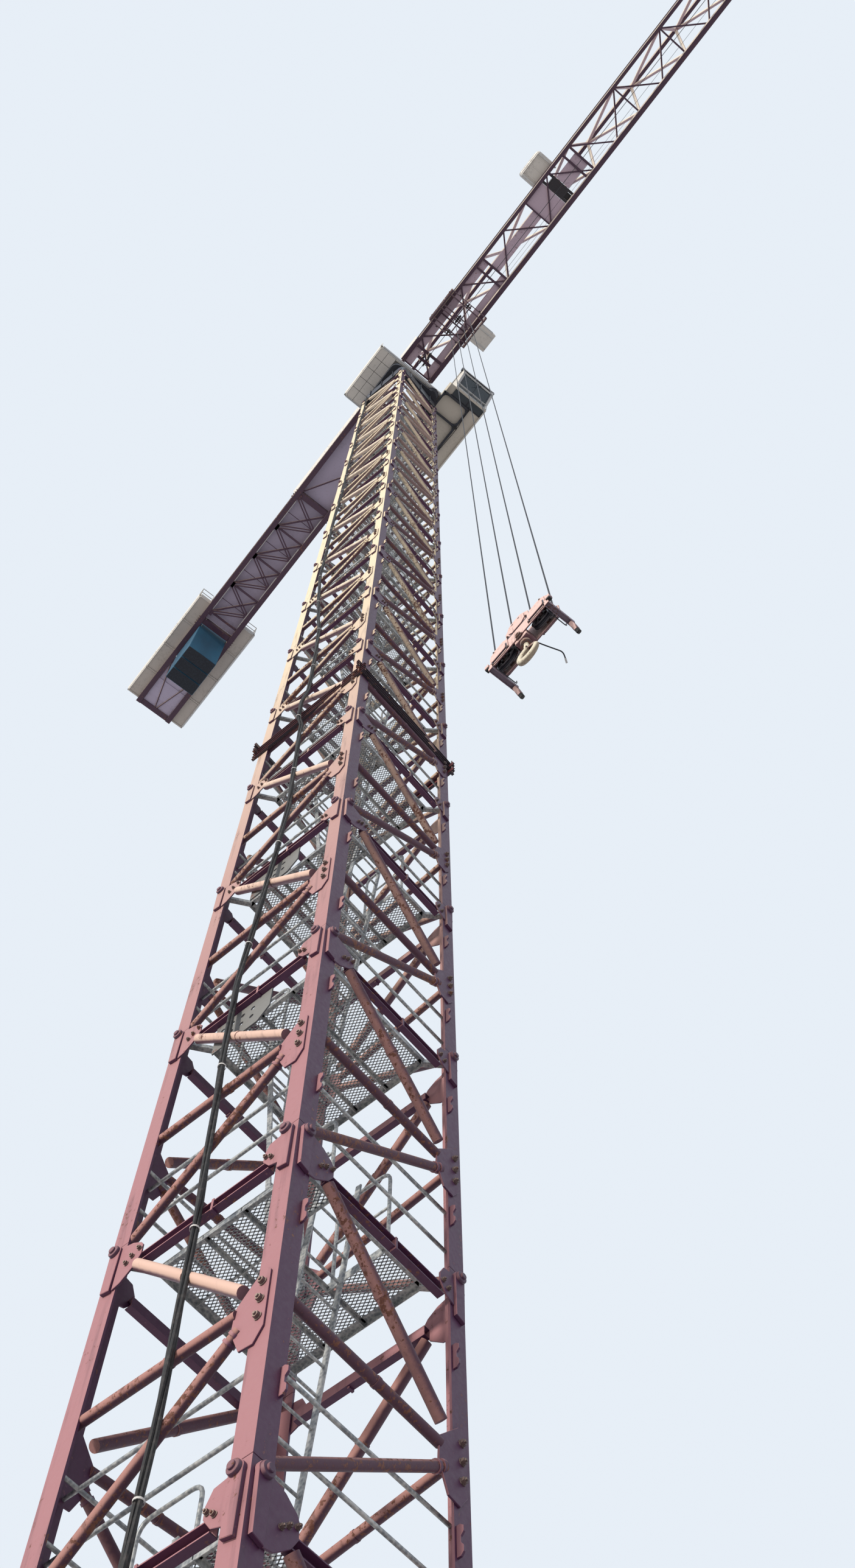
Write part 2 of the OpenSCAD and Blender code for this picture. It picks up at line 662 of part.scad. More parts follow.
// floors outside the beams at the counterweights
module side_platforms() color([0.72, 0.73, 0.74]) upper() for (s = [-1, 1]) {
  rear = 100 - counter_l;
  front = side_front;
  side_t = 60;
  box([rear, s > 0 ? counter_out : -counter_out - side_w, chord_z - side_t],
    [front, s > 0 ? counter_out + side_w : -counter_out, chord_z]);
  at = s * (counter_out + side_w - 20);
  fence([rear + 20, at, chord_z], [front - 20, at, chord_z], 5);
}

// slabs that hang between the beams by lugs that rest on them
module counterweights() color([0.10, 0.36, 0.38]) upper() for (k = [0:slabs - 1])
  translate([slab_first - slab_t - k * (slab_t + slab_gap), 0, chord_z]) {
    half = counter_in - 20;
    lug_z = counter_beam_h / 2;
    box([0, -half, -slab_drop], [slab_t, half, lug_z + lug_h]);
    for (s = [-1, 1])
      box([60, s > 0 ? half - 1 : -counter_half - 60, lug_z],
        [slab_t - 60, s > 0 ? counter_half + 60 : 1 - half, lug_z + lug_h]);
  }

// hoist winch on its bed: grooved drum between flanges, gearbox on one side and motor on the other
module hoist_winch() color([0.30, 0.32, 0.34]) upper() translate([hoist_winch_u, 0, 0]) {
  bed = counter_top - 30;
  drum_z = chord_z + 760;
  box([-700, -600, bed], [700, 600, bed + 180]);
  for (v = [-470, 430])
    box([-260, v, bed + 179], [260, v + 40, drum_z + 120]);
  translate([0, 440, drum_z]) rotate([90, 0, 0]) cylinder(d = 560, h = 880, $fn = 64);
  for (v = [-400, 370])
    translate([0, v + 30, drum_z]) rotate([90, 0, 0]) cylinder(d = 760, h = 30, $fn = 64);
  box([-260, -600, bed + 179], [260, -469, drum_z + 260]);
  translate([-520, 300, bed + 400]) rotate([90, 0, 0]) cylinder(d = 340, h = 620, $fn = 48);
  box([-640, -260, bed + 179], [-400, 240, bed + 300]);
}

// trolley: a frame hung under the chords by its side plates
module trolley_frame() color([0.30, 0.18, 0.26]) upper() translate([trolley_u, 0, 0]) {
  for (s = [-1, 1]) {
    translate([-trolley_l / 2, s > 0 ? trolley_half : -trolley_half - side_t, trolley_z])
      cube([trolley_l, side_t, chord_z - trolley_z + 75]);
  }
  for (u = [-trolley_l / 2, trolley_l / 2 - side_t])
    box([u, -trolley_half - side_t, trolley_z], [u + side_t, trolley_half + side_t, trolley_z + 160]);
  for (v = [-120, 80])
    box([-trolley_l / 2, v, trolley_z], [trolley_l / 2, v + 40, trolley_z + 160]);
}

// wheels on the ledges, each on a stub axle in the side plate
module trolley_wheels() color([0.20, 0.20, 0.22]) upper() translate([trolley_u, 0, 0])
  for (su = [-1, 1], s = [0, 1])
    mirror([0, s, 0]) translate([su * (trolley_l / 2 - 180), wheel_v + wheel_t, wheel_z]) {
      rotate([90, 0, 0]) cylinder(d = wheel_d, h = wheel_t, $fn = 48);
      rotate([-90, 0, 0]) cylinder(d = 50, h = trolley_half - wheel_v - wheel_t, $fn = 24);
    }

// three sheaves in line that the falls hang from
module trolley_sheaves() color([0.25, 0.18, 0.24]) upper() translate([trolley_u, 0, trolley_z + 80])
  for (u = [-sheave_u, 0, sheave_u]) {
    translate([u, sheave_t / 2, 0]) rotate([90, 0, 0])
      cylinder(d = u == 0 ? sheave_d : end_sheave_d, h = sheave_t, $fn = 48);
    translate([u, 80, 0]) rotate([90, 0, 0]) cylinder(d = 60, h = 160, $fn = 32);
  }

// hanging basket for a fitter, on the left of the trolley
module service_basket() color([0.84, 0.84, 0.82]) upper() translate([trolley_u, 0, 0]) {
  low = trolley_z - 200;
  out = trolley_half + side_t;
  box([-350, out, low], [450, out + 720, low + 50]);
  for (v = [out, out + 680])
    box([-350, v, low + 50], [450, v + 40, low + 300]);
}

// four falls of the hoist rope
module hoist_falls() color([0.15, 0.15, 0.16]) upper() for (u = fall_u)
  translate([trolley_u + u, 0, falls_low]) cylinder(d = fall_d, h = falls_high - falls_low, $fn = 12);

// hook block: two cheek plates over the sheaves, a crosshead for the hook and a bent leg at each end
module cheek_2d() {
  polygon([[-block_l / 2, 60], [-block_l / 2 + 60, -20], [block_l / 2 - 60, -20], [block_l / 2, 60],
    [block_l / 2, 230], [block_l / 2 - 100, 320], [260, 320], [215, 300], [215, 560], [120, 700],
    [-120, 700], [-215, 560], [-215, 300], [-260, 320], [100 - block_l / 2, 320], [-block_l / 2, 230]]);
}
module block_frame() color([0.55, 0.34, 0.44]) upper() translate([trolley_u, 0, block_z]) difference() {
  union() {
    for (v = [-cheek_v - cheek_t, cheek_v])
      translate([0, v + cheek_t, 0]) rotate([90, 0, 0]) linear_extrude(cheek_t) cheek_2d();
    for (s = [-1, 1])
      translate([s * (block_l / 2 - 10) - 10, 0, 0]) {
        translate([0, -cheek_v - 1, 40]) cube([20, 2 * cheek_v + 2, 70]);
        translate([s > 0 ? 5 : -45, -cheek_v - 60, 20]) cube([60, 2 * cheek_v + 390, 60]);
        translate([s > 0 ? 5 : -45, cheek_v + 270, -190]) cube([60, 60, 270]);
      }
    box([-110, -cheek_v - 1, crosshead_low], [110, cheek_v + 1, crosshead_high]);
  }
  translate([0, 0, crosshead_low - 1])
    cylinder(d = shank_d + 4, h = crosshead_high - crosshead_low + 2, $fn = 48);
}

module block_sheaves() color([0.25, 0.18, 0.24]) upper() translate([trolley_u, 0, falls_low])
  for (u = [-fall_gap, fall_gap]) {
    translate([u, sheave_t / 2, 0]) rotate([90, 0, 0]) cylinder(d = sheave_d, h = sheave_t, $fn = 48);
    translate([u, cheek_v, 0]) rotate([90, 0, 0]) cylinder(d = 60, h = 2 * cheek_v, $fn = 32);
  }

// hook with its shank through the crosshead and its nut on top
module hook() color([0.85, 0.84, 0.80]) upper() translate([trolley_u, 0, block_z]) {
  translate([0, 0, -360]) cylinder(d = shank_d, h = crosshead_high + 440, $fn = 48);
  translate([0, 0, crosshead_high + seat]) cylinder(d = 120, h = 60, $fn = 32);
  difference() {
    translate([0, 40, -500]) rotate([90, 0, 0]) cylinder(d = 420, h = 80, $fn = 64);
    translate([0, 60, -500]) rotate([90, 0, 0]) cylinder(d = 220, h = 120, $fn = 64);
    box([0, -80, -500], [300, 80, -380]);
  }
}

base_frame();
mast_legs();
mast_face_front();
mast_face_right();
mast_face_back();
mast_face_left();
mast_platforms();
mast_ladders();
tie_collar();
power_cable();
ring_support();
slewing_ring();
turntable();
slewing_deck();
switch_cabinet();
tower_head();
cab_support();
cab_body();
cab_glass();
deck_rails();
jib_lower_chords();
jib_top_chord();
jib_lacing_left();
jib_lacing_right();
jib_bottom_lacing();
jib_walkway();
jib_tip();
trolley_winch();
winch_platform();
root_sheaves();
counter_jib_beams();
counter_jib_deck();
counter_jib_rails();
side_platforms();
counterweights();
hoist_winch();
trolley_frame();
trolley_wheels();
trolley_sheaves();
service_basket();
hoist_falls();
block_frame();
block_sheaves();
hook();
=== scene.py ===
import json
import math
import bmesh
import bpy
from mathutils import Matrix, Vector


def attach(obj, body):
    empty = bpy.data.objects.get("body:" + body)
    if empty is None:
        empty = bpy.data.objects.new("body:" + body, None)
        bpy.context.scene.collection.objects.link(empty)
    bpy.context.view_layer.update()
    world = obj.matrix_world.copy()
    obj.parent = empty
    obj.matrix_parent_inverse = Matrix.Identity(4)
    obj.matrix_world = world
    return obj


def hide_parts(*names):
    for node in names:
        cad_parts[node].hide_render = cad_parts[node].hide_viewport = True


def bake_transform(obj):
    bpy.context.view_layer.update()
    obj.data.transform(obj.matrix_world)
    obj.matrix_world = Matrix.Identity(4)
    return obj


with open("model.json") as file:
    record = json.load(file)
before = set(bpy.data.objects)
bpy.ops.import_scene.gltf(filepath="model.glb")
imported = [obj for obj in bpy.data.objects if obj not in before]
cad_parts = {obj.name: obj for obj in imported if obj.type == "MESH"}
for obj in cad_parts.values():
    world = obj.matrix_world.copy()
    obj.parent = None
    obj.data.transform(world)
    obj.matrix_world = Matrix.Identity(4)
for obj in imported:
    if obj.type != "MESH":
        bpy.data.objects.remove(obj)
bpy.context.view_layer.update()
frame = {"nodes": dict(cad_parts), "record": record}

# Camera
# It stands on the ground near the mast's front right corner and looks steeply up the mast.
camera_place = Vector((3.037, -2.765, 0.83))
camera_yaw = math.radians(129.92)
camera_pitch = math.radians(68.49)
camera_roll = math.radians(0.11)
photo_focal_px = 2521
photo_height_px = 2576
film_mm = 36
looking = Vector((math.cos(camera_yaw) * math.cos(camera_pitch),
                  math.sin(camera_yaw) * math.cos(camera_pitch), math.sin(camera_pitch)))
level_right = Vector((math.sin(camera_yaw), -math.cos(camera_yaw), 0))
level_up = level_right.cross(looking)
camera_right = level_right * math.cos(camera_roll) + level_up * math.sin(camera_roll)
camera_up = level_up * math.cos(camera_roll) - level_right * math.sin(camera_roll)
camera = bpy.data.objects.new("camera", bpy.data.cameras.new("camera"))
camera.data.sensor_width = film_mm
camera.data.lens = film_mm * photo_focal_px / photo_height_px
camera.data.clip_end = 500
camera.matrix_world = Matrix.Translation(camera_place) @ Matrix(
    (camera_right, camera_up, -looking)).transposed().to_4x4()
bpy.context.scene.collection.objects.link(camera)
bpy.context.scene.camera = camera
bpy.context.scene.view_settings.view_transform = "Standard"

# Light
# One broad warm lamp stands low before the front face, and a plain cool sky fills the shade.
# The camera and reflections see a pale backdrop, which lights nothing.
sun_from = Vector((-0.05, -0.95, 0.31)).normalized()
lamp = bpy.data.objects.new("key_lamp", bpy.data.lights.new("key_lamp", "SUN"))
lamp.data.energy = 2.45
lamp.data.color = (1.0, 0.93, 0.84)
lamp.data.angle = math.radians(6)
lamp.rotation_mode = "QUATERNION"
lamp.rotation_quaternion = sun_from.to_track_quat("Z", "Y")
bpy.context.scene.collection.objects.link(lamp)
sky_colour = (0.53, 0.55, 0.66, 1)
backdrop_colour = (0.80, 0.86, 0.93, 1)
world = bpy.data.worlds.new("studio")
bpy.context.scene.world = world
world.use_nodes = True
sky_tree = world.node_tree
sky_tree.nodes.clear()
sky_path = sky_tree.nodes.new("ShaderNodeLightPath")
seen = sky_tree.nodes.new("ShaderNodeMath")
seen.operation = "MAXIMUM"
sky_tree.links.new(sky_path.outputs["Is Camera Ray"], seen.inputs[0])
sky_tree.links.new(sky_path.outputs["Is Transmission Ray"], seen.inputs[1])
mirrored = sky_tree.nodes.new("ShaderNodeMath")
mirrored.operation = "MAXIMUM"
sky_tree.links.new(seen.outputs[0], mirrored.inputs[0])
sky_tree.links.new(sky_path.outputs["Is Glossy Ray"], mirrored.inputs[1])
sky_mix = sky_tree.nodes.new("ShaderNodeMix")
sky_mix.data_type = "RGBA"
sky_tree.links.new(mirrored.outputs[0], sky_mix.inputs[0])
sky_mix.inputs[6].default_value = sky_colour
sky_mix.inputs[7].default_value = backdrop_colour
sky_light = sky_tree.nodes.new("ShaderNodeBackground")
sky_tree.links.new(sky_mix.outputs[2], sky_light.inputs["Color"])
sky_out = sky_tree.nodes.new("ShaderNodeOutputWorld")
sky_tree.links.new(sky_light.outputs[0], sky_out.inputs["Surface"])

# Base frame
# A square of deep beams with a cross stands on four shoes, each held down by four anchor bolts.
# The nuts, washers and stiffening ribs are added to the welded frame.
# Lengths are millimetres of the real crane, and every shape is halved as it becomes a piece.
section_h = 3330
base_h = 5050
sections = 17
half_w = 1000
leg_b = 180
leg_in = half_w - leg_b
leg_mid = half_w - leg_b / 2
base_beam_h = 300
mast_top = base_h + sections * section_h
halved = Matrix.Scale(1 / 2000, 4)
both = (-1, 1)
corners = ((-1, -1), (-1, 1), (1, -1), (1, 1))


class Reading:
    """A value inside a finish, so that sums on it can be written as sums."""

    def __init__(self, finish, socket):
        self.finish = finish
        self.socket = socket

    def sum(self, operation, *values):
        return self.finish.node("Math", {"operation": operation, "use_clamp": False}, *values)

    def __add__(self, other):
        return self.sum("ADD", self, other)

    def __sub__(self, other):
        return self.sum("SUBTRACT", self, other)

    def __rsub__(self, other):
        return self.sum("SUBTRACT", other, self)

    def __mul__(self, other):
        return self.sum("MULTIPLY", self, other)

    __radd__ = __add__
    __rmul__ = __mul__

    def step(self, low, high):
        """0 below low, 1 above high and a smooth rise between."""
        return self.finish.node("MapRange", {"interpolation_type": "SMOOTHSTEP"}, self, low, high)


class Finish:
    """A material whose shader keeps its plain values and takes the varying ones from nodes."""

    def __init__(self, name, **plain):
        self.material = bpy.data.materials.new(name)
        self.material.use_nodes = True
        self.tree = self.material.node_tree
        self.shader = self.tree.nodes["Principled BSDF"]
        for socket, value in plain.items():
            self.shader.inputs[socket.replace("_", " ")].default_value = value
        self.place = self.node("TexCoord", out=3)
        self.facing = self.node("TexCoord", out=1)

    def node(self, kind, settings=None, *values, out=0, **named):
        made = self.tree.nodes.new("ShaderNode" + kind)
        for setting, value in (settings or {}).items():
            setattr(made, setting, value)
        given = list(zip(made.inputs, values))
        given += [(made.inputs[key.replace("_", " ")], value) for key, value in named.items()]
        for socket, value in given:
            if isinstance(value, Reading):
                self.tree.links.new(value.socket, socket)
            elif value is not None:
                socket.default_value = value
        return Reading(self, made.outputs[out])

    def feed(self, socket, reading):
        self.tree.links.new(reading.socket, self.shader.inputs[socket])

    def noise(self, scale, detail=3, stretch=None, rough=0.55):
        place = self.place
        if stretch:
            place = self.node("VectorMath", {"operation": "MULTIPLY"}, place, stretch)
        return self.node("TexNoise", {}, place, Scale=scale, Detail=detail, Roughness=rough)

    def mix(self, share, first, second):
        return self.node("Mix", {"data_type": "RGBA"}, share, None, None, None, None, None,
                         first, second, out=2)

    def towards(self, way):
        """1 where the surface faces that way, 0 where it faces off."""
        return self.node("VectorMath", {"operation": "DOT_PRODUCT"}, self.facing, tuple(way), out=1)

    def bump(self, height, distance, strength=0.6):
        self.feed("Normal", self.node("Bump", {}, Strength=strength, Distance=distance,
                                      Height=height))


def tone(red, green, blue):
    """A colour written as it looks, 0 to 255."""
    return tuple(((c / 255 + 0.055) / 1.055) ** 2.4 if c > 10 else c / 255 / 12.92
                 for c in (red, green, blue)) + (1,)


def painted(name, colour, sunfaded_and_lit, rust=0.0, dirt=0.35, roughness=0.5, scale=1.0, high=None, painted_light_lift=None):
    """Old site paint, streaked with dirt and rusty in spots. Its side facing the lamp is paler: real chalking
    and painted light.
    High up that side pales further, partly bleaching and partly painted sunlight, and the shaded side is
    lifted: painted light."""
    finish = Finish(name)
    if high:
        # High up the lit side pales, partly bleaching and partly painted sunlight; the shaded side is lifted,
        # painted light.
        level = finish.node("SeparateXYZ", {}, finish.place, out=2)
        sunfaded_and_lit_here = finish.mix(level.step(6, 17), sunfaded_and_lit, high)
        colour_here = finish.mix(level.step(15, 27), colour, painted_light_lift or colour)
    else:
        sunfaded_and_lit_here, colour_here = sunfaded_and_lit, colour
    broad = finish.noise(2.2 * scale, 2)
    fine = finish.noise(38 * scale, 4, rough=0.65)
    streaks = finish.noise(26 * scale, 3, stretch=(1, 1, 0.08))
    # Paler where the surface faces the lamp: partly real sun chalking, partly painted light on the lit side.
    sun_fade_and_painted_light = (finish.towards(sun_from) + 0.5 * (broad - 0.5) + 0.25 * (fine - 0.5)).step(0.05, 0.55)
    coat = finish.mix(sun_fade_and_painted_light, colour_here, sunfaded_and_lit_here)
    worn = finish.mix((streaks + 0.5 * (broad - 0.5)).step(0.52, 0.78) * dirt, coat,
                      tuple(0.35 * c for c in colour[:3]) + (1,))
    flecks = (0.6 * fine + 0.4 * streaks).step(0.60, 0.68) * 0.2
    worn = finish.mix(flecks, worn, tuple(min(1, 1.35 * c + 0.02) for c in sunfaded_and_lit[:3]) + (1,))
    if rust:
        spots = (fine + 0.55 * (broad - 0.5) + 0.3 * (streaks - 0.5)).step(0.67 - rust * 0.3,
                                                                        0.75 - rust * 0.28)
        if high:
            spots = spots * (1 - 0.8 * level.step(12, 24))
        old = finish.mix(finish.noise(90 * scale, 2), tone(70, 36, 32), tone(140, 90, 66))
        worn = finish.mix(spots, worn, old)
    finish.feed("Base Color", worn)
    finish.feed("Roughness", roughness + 0.35 * (fine - 0.5) + 0.12 * sun_fade_and_painted_light)
    finish.bump(fine + 0.4 * broad, 0.0007)
    return finish


def form(work):
    """A finished shape, kept as a mesh that can be set down many times."""
    bmesh.ops.recalc_face_normals(work, faces=work.faces)
    shape = bpy.data.meshes.new("form")
    work.to_mesh(shape)
    work.free()
    return shape


def block(low, high, edge=0):
    """A plain block between any two opposite corners, its edges taken off."""
    work = bmesh.new()
    low, high = Vector(low), Vector(high)
    verts = bmesh.ops.create_cube(work, size=1)["verts"]
    bmesh.ops.scale(work, vec=[abs(side) for side in high - low], verts=verts)
    bmesh.ops.translate(work, vec=(low + high) / 2, verts=verts)
    if edge:
        bmesh.ops.bevel(work, geom=work.edges[:], offset=edge, affect="EDGES", segments=1,
                        profile=0.5, material=-1)
    return form(work)


def bar(start, end, wide, deep, edge=0):
    """A flat or square bar from start to end, its width level."""
    start, end = Vector(start), Vector(end)
    run = end - start
    shape = block((0, -wide / 2, -deep / 2), (run.length, wide / 2, deep / 2), edge)
    level = Vector((-run.y, run.x, 0))
    if level.length < 1e-6:
        level = Vector((0, 1, 0))
    level.normalize()
    along = run.normalized()
    shape.transform(Matrix.Translation(start) @ Matrix(
        (along, level, along.cross(level))).transposed().to_4x4())
    return shape


def rod(start, end, radius, sides=12, end_radius=None):
    """A round bar or tube from start to end, closed at both ends."""
    work = bmesh.new()
    start, end = Vector(start), Vector(end)
    run = end - start
    bmesh.ops.create_cone(work, cap_ends=True, segments=sides, radius1=radius,
                          radius2=radius if end_radius is None else end_radius, depth=run.length,
                          matrix=Matrix.Translation((start + end) / 2)
                          @ run.to_track_quat("Z", "Y").to_matrix().to_4x4())
    return form(work)


def plate(outline, thick, edge=0):
    """A flat plate cut to an outline in x and y, thick in z."""
    work = bmesh.new()
    face = work.faces.new([work.verts.new((x, y, 0)) for x, y in outline])
    if face.normal.z < 0:
        face.normal_flip()
    raised = bmesh.ops.extrude_face_region(work, geom=[face])["geom"]
    bmesh.ops.translate(work, vec=(0, 0, thick),
                        verts=[v for v in raised if isinstance(v, bmesh.types.BMVert)])
    if edge:
        rim = [e for e in work.edges if abs(e.verts[0].co.z - e.verts[1].co.z) < 1e-6]
        bmesh.ops.bevel(work, geom=rim, offset=edge, affect="EDGES", segments=1, profile=0.5,
                        material=-1)
    return form(work)


def turned(profile, steps=32):
    """A shape turned on a lathe: its profile of radius and height spun about z."""
    work = bmesh.new()
    line = [work.verts.new((radius, 0, height)) for radius, height in profile]
    edges = [work.edges.new(pair) for pair in zip(line, line[1:])]
    bmesh.ops.spin(work, geom=line + edges, cent=(0, 0, 0), axis=(0, 0, 1), dvec=(0, 0, 0),
                   angle=2 * math.pi, steps=steps, use_merge=True, use_duplicate=False)
    bmesh.ops.remove_doubles(work, verts=work.verts, dist=0.01)
    return form(work)


def bent(points, radius, steps=4):
    """The points of a line with each inner corner turned into an arc."""
    points = [Vector(p) for p in points]
    line = [points[0]]
    for before, corner, after in zip(points, points[1:], points[2:]):
        back = (before - corner).normalized()
        on = (after - corner).normalized()
        reach = min(radius, (before - corner).length / 2, (after - corner).length / 2)
        for step in range(steps + 1):
            t = step / steps
            line.append(corner + back * reach * (1 - t) ** 2 + on * reach * t ** 2)
    return line + [points[-1]]


def from_curve(curve):
    """The surface of a curve, with its doubled points joined."""
    holder = bpy.data.objects.new(curve.name, curve)
    shape = bpy.data.meshes.new_from_object(holder)
    bpy.data.objects.remove(holder)
    work = bmesh.new()
    work.from_mesh(shape)
    bmesh.ops.remove_doubles(work, verts=work.verts, dist=0.01)
    return form(work)


def pipe(points, radius, sides=10, widths=None):
    """A round tube along a line of points, closed at both ends, its radius times the widths if given."""
    path = bpy.data.curves.new("path", "CURVE")
    path.dimensions = "3D"
    path.bevel_depth = radius
    path.bevel_resolution = max(0, (sides - 4) // 2)
    path.use_fill_caps = True
    run = path.splines.new("POLY")
    run.points.add(len(points) - 1)
    for i, point in enumerate(points):
        run.points[i].co = (*point, 1)
        run.points[i].radius = widths[i] if widths else 1
    return from_curve(path)


def bolt(across, high, washer=True):
    """A hexagon head on its washer, standing on z = 0."""
    work = bmesh.new()
    if washer:
        bmesh.ops.create_cone(work, cap_ends=True, segments=12, radius1=across * 0.62,
                              radius2=across * 0.62, depth=high * 0.3,
                              matrix=Matrix.Translation((0, 0, high * 0.15)))
    bmesh.ops.create_cone(work, cap_ends=True, segments=6, radius1=across / 2,
                          radius2=across / 2, depth=high,
                          matrix=Matrix.Translation((0, 0, high * 0.7)))
    bmesh.ops.create_cone(work, cap_ends=True, segments=8, radius1=across * 0.26,
                          radius2=across * 0.24, depth=high * 0.5,
                          matrix=Matrix.Translation((0, 0, high * 1.4)))
    return form(work)


def at(x, y, z):
    return Matrix.Translation((x, y, z))


def turn(degrees, axis="Z"):
    return Matrix.Rotation(math.radians(degrees), 4, axis)


upright = turn(90, "X")


def stood(x, y, z):
    """A flat shape's place when it stands up and looks towards -y."""
    return at(x, y, z) @ upright


def flip(way, axis=(1, 0, 0)):
    """Mirrored if way is -1."""
    return Matrix.Scale(way, 4, axis)


def arc(x, y, radius, first, last, steps):
    """Points round an arc, from one angle in degrees to another."""
    angles = [math.radians(first + (last - first) * i / steps) for i in range(steps + 1)]
    return [(x + radius * math.cos(angle), y + radius * math.sin(angle)) for angle in angles]


class Kit:
    """Shapes set down in real millimetres, which become one piece of the half-size model."""

    def __init__(self):
        self.work = bmesh.new()

    def add(self, shape, *places, finish=0):
        for place in places or (Matrix(),):
            copy = shape.copy()
            copy.transform(place)
            if place.determinant() < 0:
                copy.flip_normals()
            if finish:
                copy.polygons.foreach_set("material_index", [finish] * len(copy.polygons))
            self.work.from_mesh(copy)
            bpy.data.meshes.remove(copy)
        return self

    def piece(self, name, body, slot, *finishes, stands_for=(), place=Matrix(), count=1, pitch=0):
        mesh = bpy.data.meshes.new(name)
        self.work.to_mesh(mesh)
        self.work.free()
        mesh.transform(halved @ (Matrix() if body == "mast" else jib_frame) @ place)
        mesh.shade_smooth()
        mesh.set_sharp_from_angle(angle=math.radians(38))
        for finish in finishes:
            mesh.materials.append(finish.material)
        made = bpy.data.objects.new(name, mesh)
        bpy.context.scene.collection.objects.link(made)
        if count > 1:
            rows = made.modifiers.new("rows", "ARRAY")
            rows.count = count
            rows.use_relative_offset = False
            rows.use_constant_offset = True
            rows.constant_offset_displace = (0, 0, pitch / 2000)
        if body:
            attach(made, body)
        if stands_for:
            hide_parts(*stands_for)
        return made


def dress(node, finish):
    """Gives a construction piece its finish, shape unchanged."""
    thing = frame["nodes"][node]
    thing.data.materials.clear()
    thing.data.materials.append(finish.material)


# The mast paint pales to cream high up: partly bleaching and partly painted sunlight.
plum = painted("plum_paint_old", tone(76, 40, 70), tone(170, 119, 122), rust=0.03, high=tone(240, 224, 188))
bolt_black = painted("bolt_steel", tone(84, 66, 66), tone(160, 138, 124), rust=0.35)
dress("base_frame", plum)
shoe_t = 60
anchor_spacing = 270
anchor_nut = bolt(84, 44)
rib = plate([(0, 0), (190, 0), (0, 200)], 16)
base = Kit()
for sx, sy in corners:
    for bx, by in corners:
        base.add(anchor_nut, at(sx * leg_mid + bx * anchor_spacing, sy * leg_mid + by * anchor_spacing,
                                shoe_t))
    for across in both:
        base.add(rib, at(sx * (leg_mid + 100), sy * leg_mid + across * 80, shoe_t) @ flip(sx) @ upright,
                 finish=1)
base.piece("base_bolts", "mast", "bare_steel", bolt_black, plum)

# Mast legs
# Each leg is a thick angle in section lengths, joined by fishplates on its two outer faces. A pin
# with a round boss goes through each fishplate just under the joint.
dark_plum = painted("plum_paint_dark", tone(76, 50, 72), tone(132, 92, 98), rust=0.2)
joint_gap = 5
angle_t = 22
fillet = 14
inside = angle_t - half_w
angle_line = [(-half_w, -half_w), (-leg_in, -half_w), (-leg_in, inside), (inside + fillet, inside),
              (inside, inside + fillet), (inside, -leg_in), (-half_w, -leg_in)]
plate_proud = 35
fish_half = 50
fish_low = -570
pin_z = -90
pin_head = turned([(0, 46), (26, 46), (30, 42), (30, 30), (50, 26), (54, 20), (54, 0), (0, 0)], 20)
fish_plate = plate([(-fish_half, fish_low + 26), (fish_half, fish_low)] + arc(0, pin_z, 62, -20, 200, 11),
                   plate_proud, 4)
lug = plate([(0, -125), (34, -125), (58, -98), (58, -52), (36, -22), (36, 30), (60, 58), (60, 100),
             (30, 125), (0, 125)], 24, 3)
legs = Kit()
base_legs = Kit()
for quarter in range(4):
    around = turn(90 * quarter)
    legs.add(plate(angle_line, section_h - joint_gap, 2), around @ at(0, 0, joint_gap))
    base_legs.add(plate(angle_line, base_h - base_beam_h, 2), around @ at(0, 0, base_beam_h))
    for kit, joint in ((legs, section_h), (base_legs, base_h)):
        sides = (around @ stood(-leg_mid, -half_w, joint),
                 around @ at(-half_w, -leg_mid, joint) @ turn(-90) @ upright)
        kit.add(fish_plate, *sides)
        kit.add(pin_head, *(side @ at(0, pin_z, plate_proud) for side in sides), finish=1)
for sx, sy in corners:
    for share in (0.20, 0.70):
        legs.add(lug, flip(sx) @ stood(half_w - 1, sy * 850 + 12, share * section_h))
legs.piece("leg_sections", "mast", "plum_paint", plum, dark_plum, stands_for=["mast_legs"],
           place=at(0, 0, base_h), count=sections, pitch=section_h)
base_legs.piece("base_legs", "mast", "plum_paint", plum, dark_plum)

# Mast bracing
# Every face of a section has three round tubes that meet on a plate at the right leg, half way up,
# and a channel bolted to plates on both legs under the joint. The front face's top tube is bleached.
# High up the tubes' shaded sides are lifted towards pale tan and cream: painted sunlight.
rusty_tube = painted("plum_paint_rusting", tone(78, 46, 62), tone(176, 128, 118), rust=0.42, dirt=0.5,
                     roughness=0.6, scale=1.4, high=tone(238, 222, 188), painted_light_lift=tone(158, 134, 124))
sunned_tube = painted("plum_paint_bleached", tone(120, 86, 94), tone(226, 190, 170), rust=0.05,
                      high=tone(246, 232, 206), painted_light_lift=tone(226, 206, 180))
tube_r = 42
top_tube_r = 50
knee = plate([(947, 0.322 * section_h), (947, 0.483 * section_h), (905, 0.497 * section_h),
              (860, 0.492 * section_h), (655, 0.425 * section_h), (645, 0.360 * section_h),
              (745, 0.290 * section_h), (870, 0.285 * section_h)], 18, 3)
left_plate = plate([(-850, -60), (-850, -560), (-770, -540), (-640, -430), (-585, -330),
                    (-590, -215), (-620, -170), (-720, -100)], 16, 3)
right_plate = plate([(850, -90), (730, -110), (680, -210), (680, -300), (750, -400), (850, -440)],
                    16, 3)
channel = plate([(0, 0), (70, 0), (70, 10), (10, 10), (10, 92), (70, 92), (70, 102), (0, 102)], 1380)
knee_bolt = bolt(52, 28)
beam_bolt = bolt(36, 22)
proud = half_w + 1


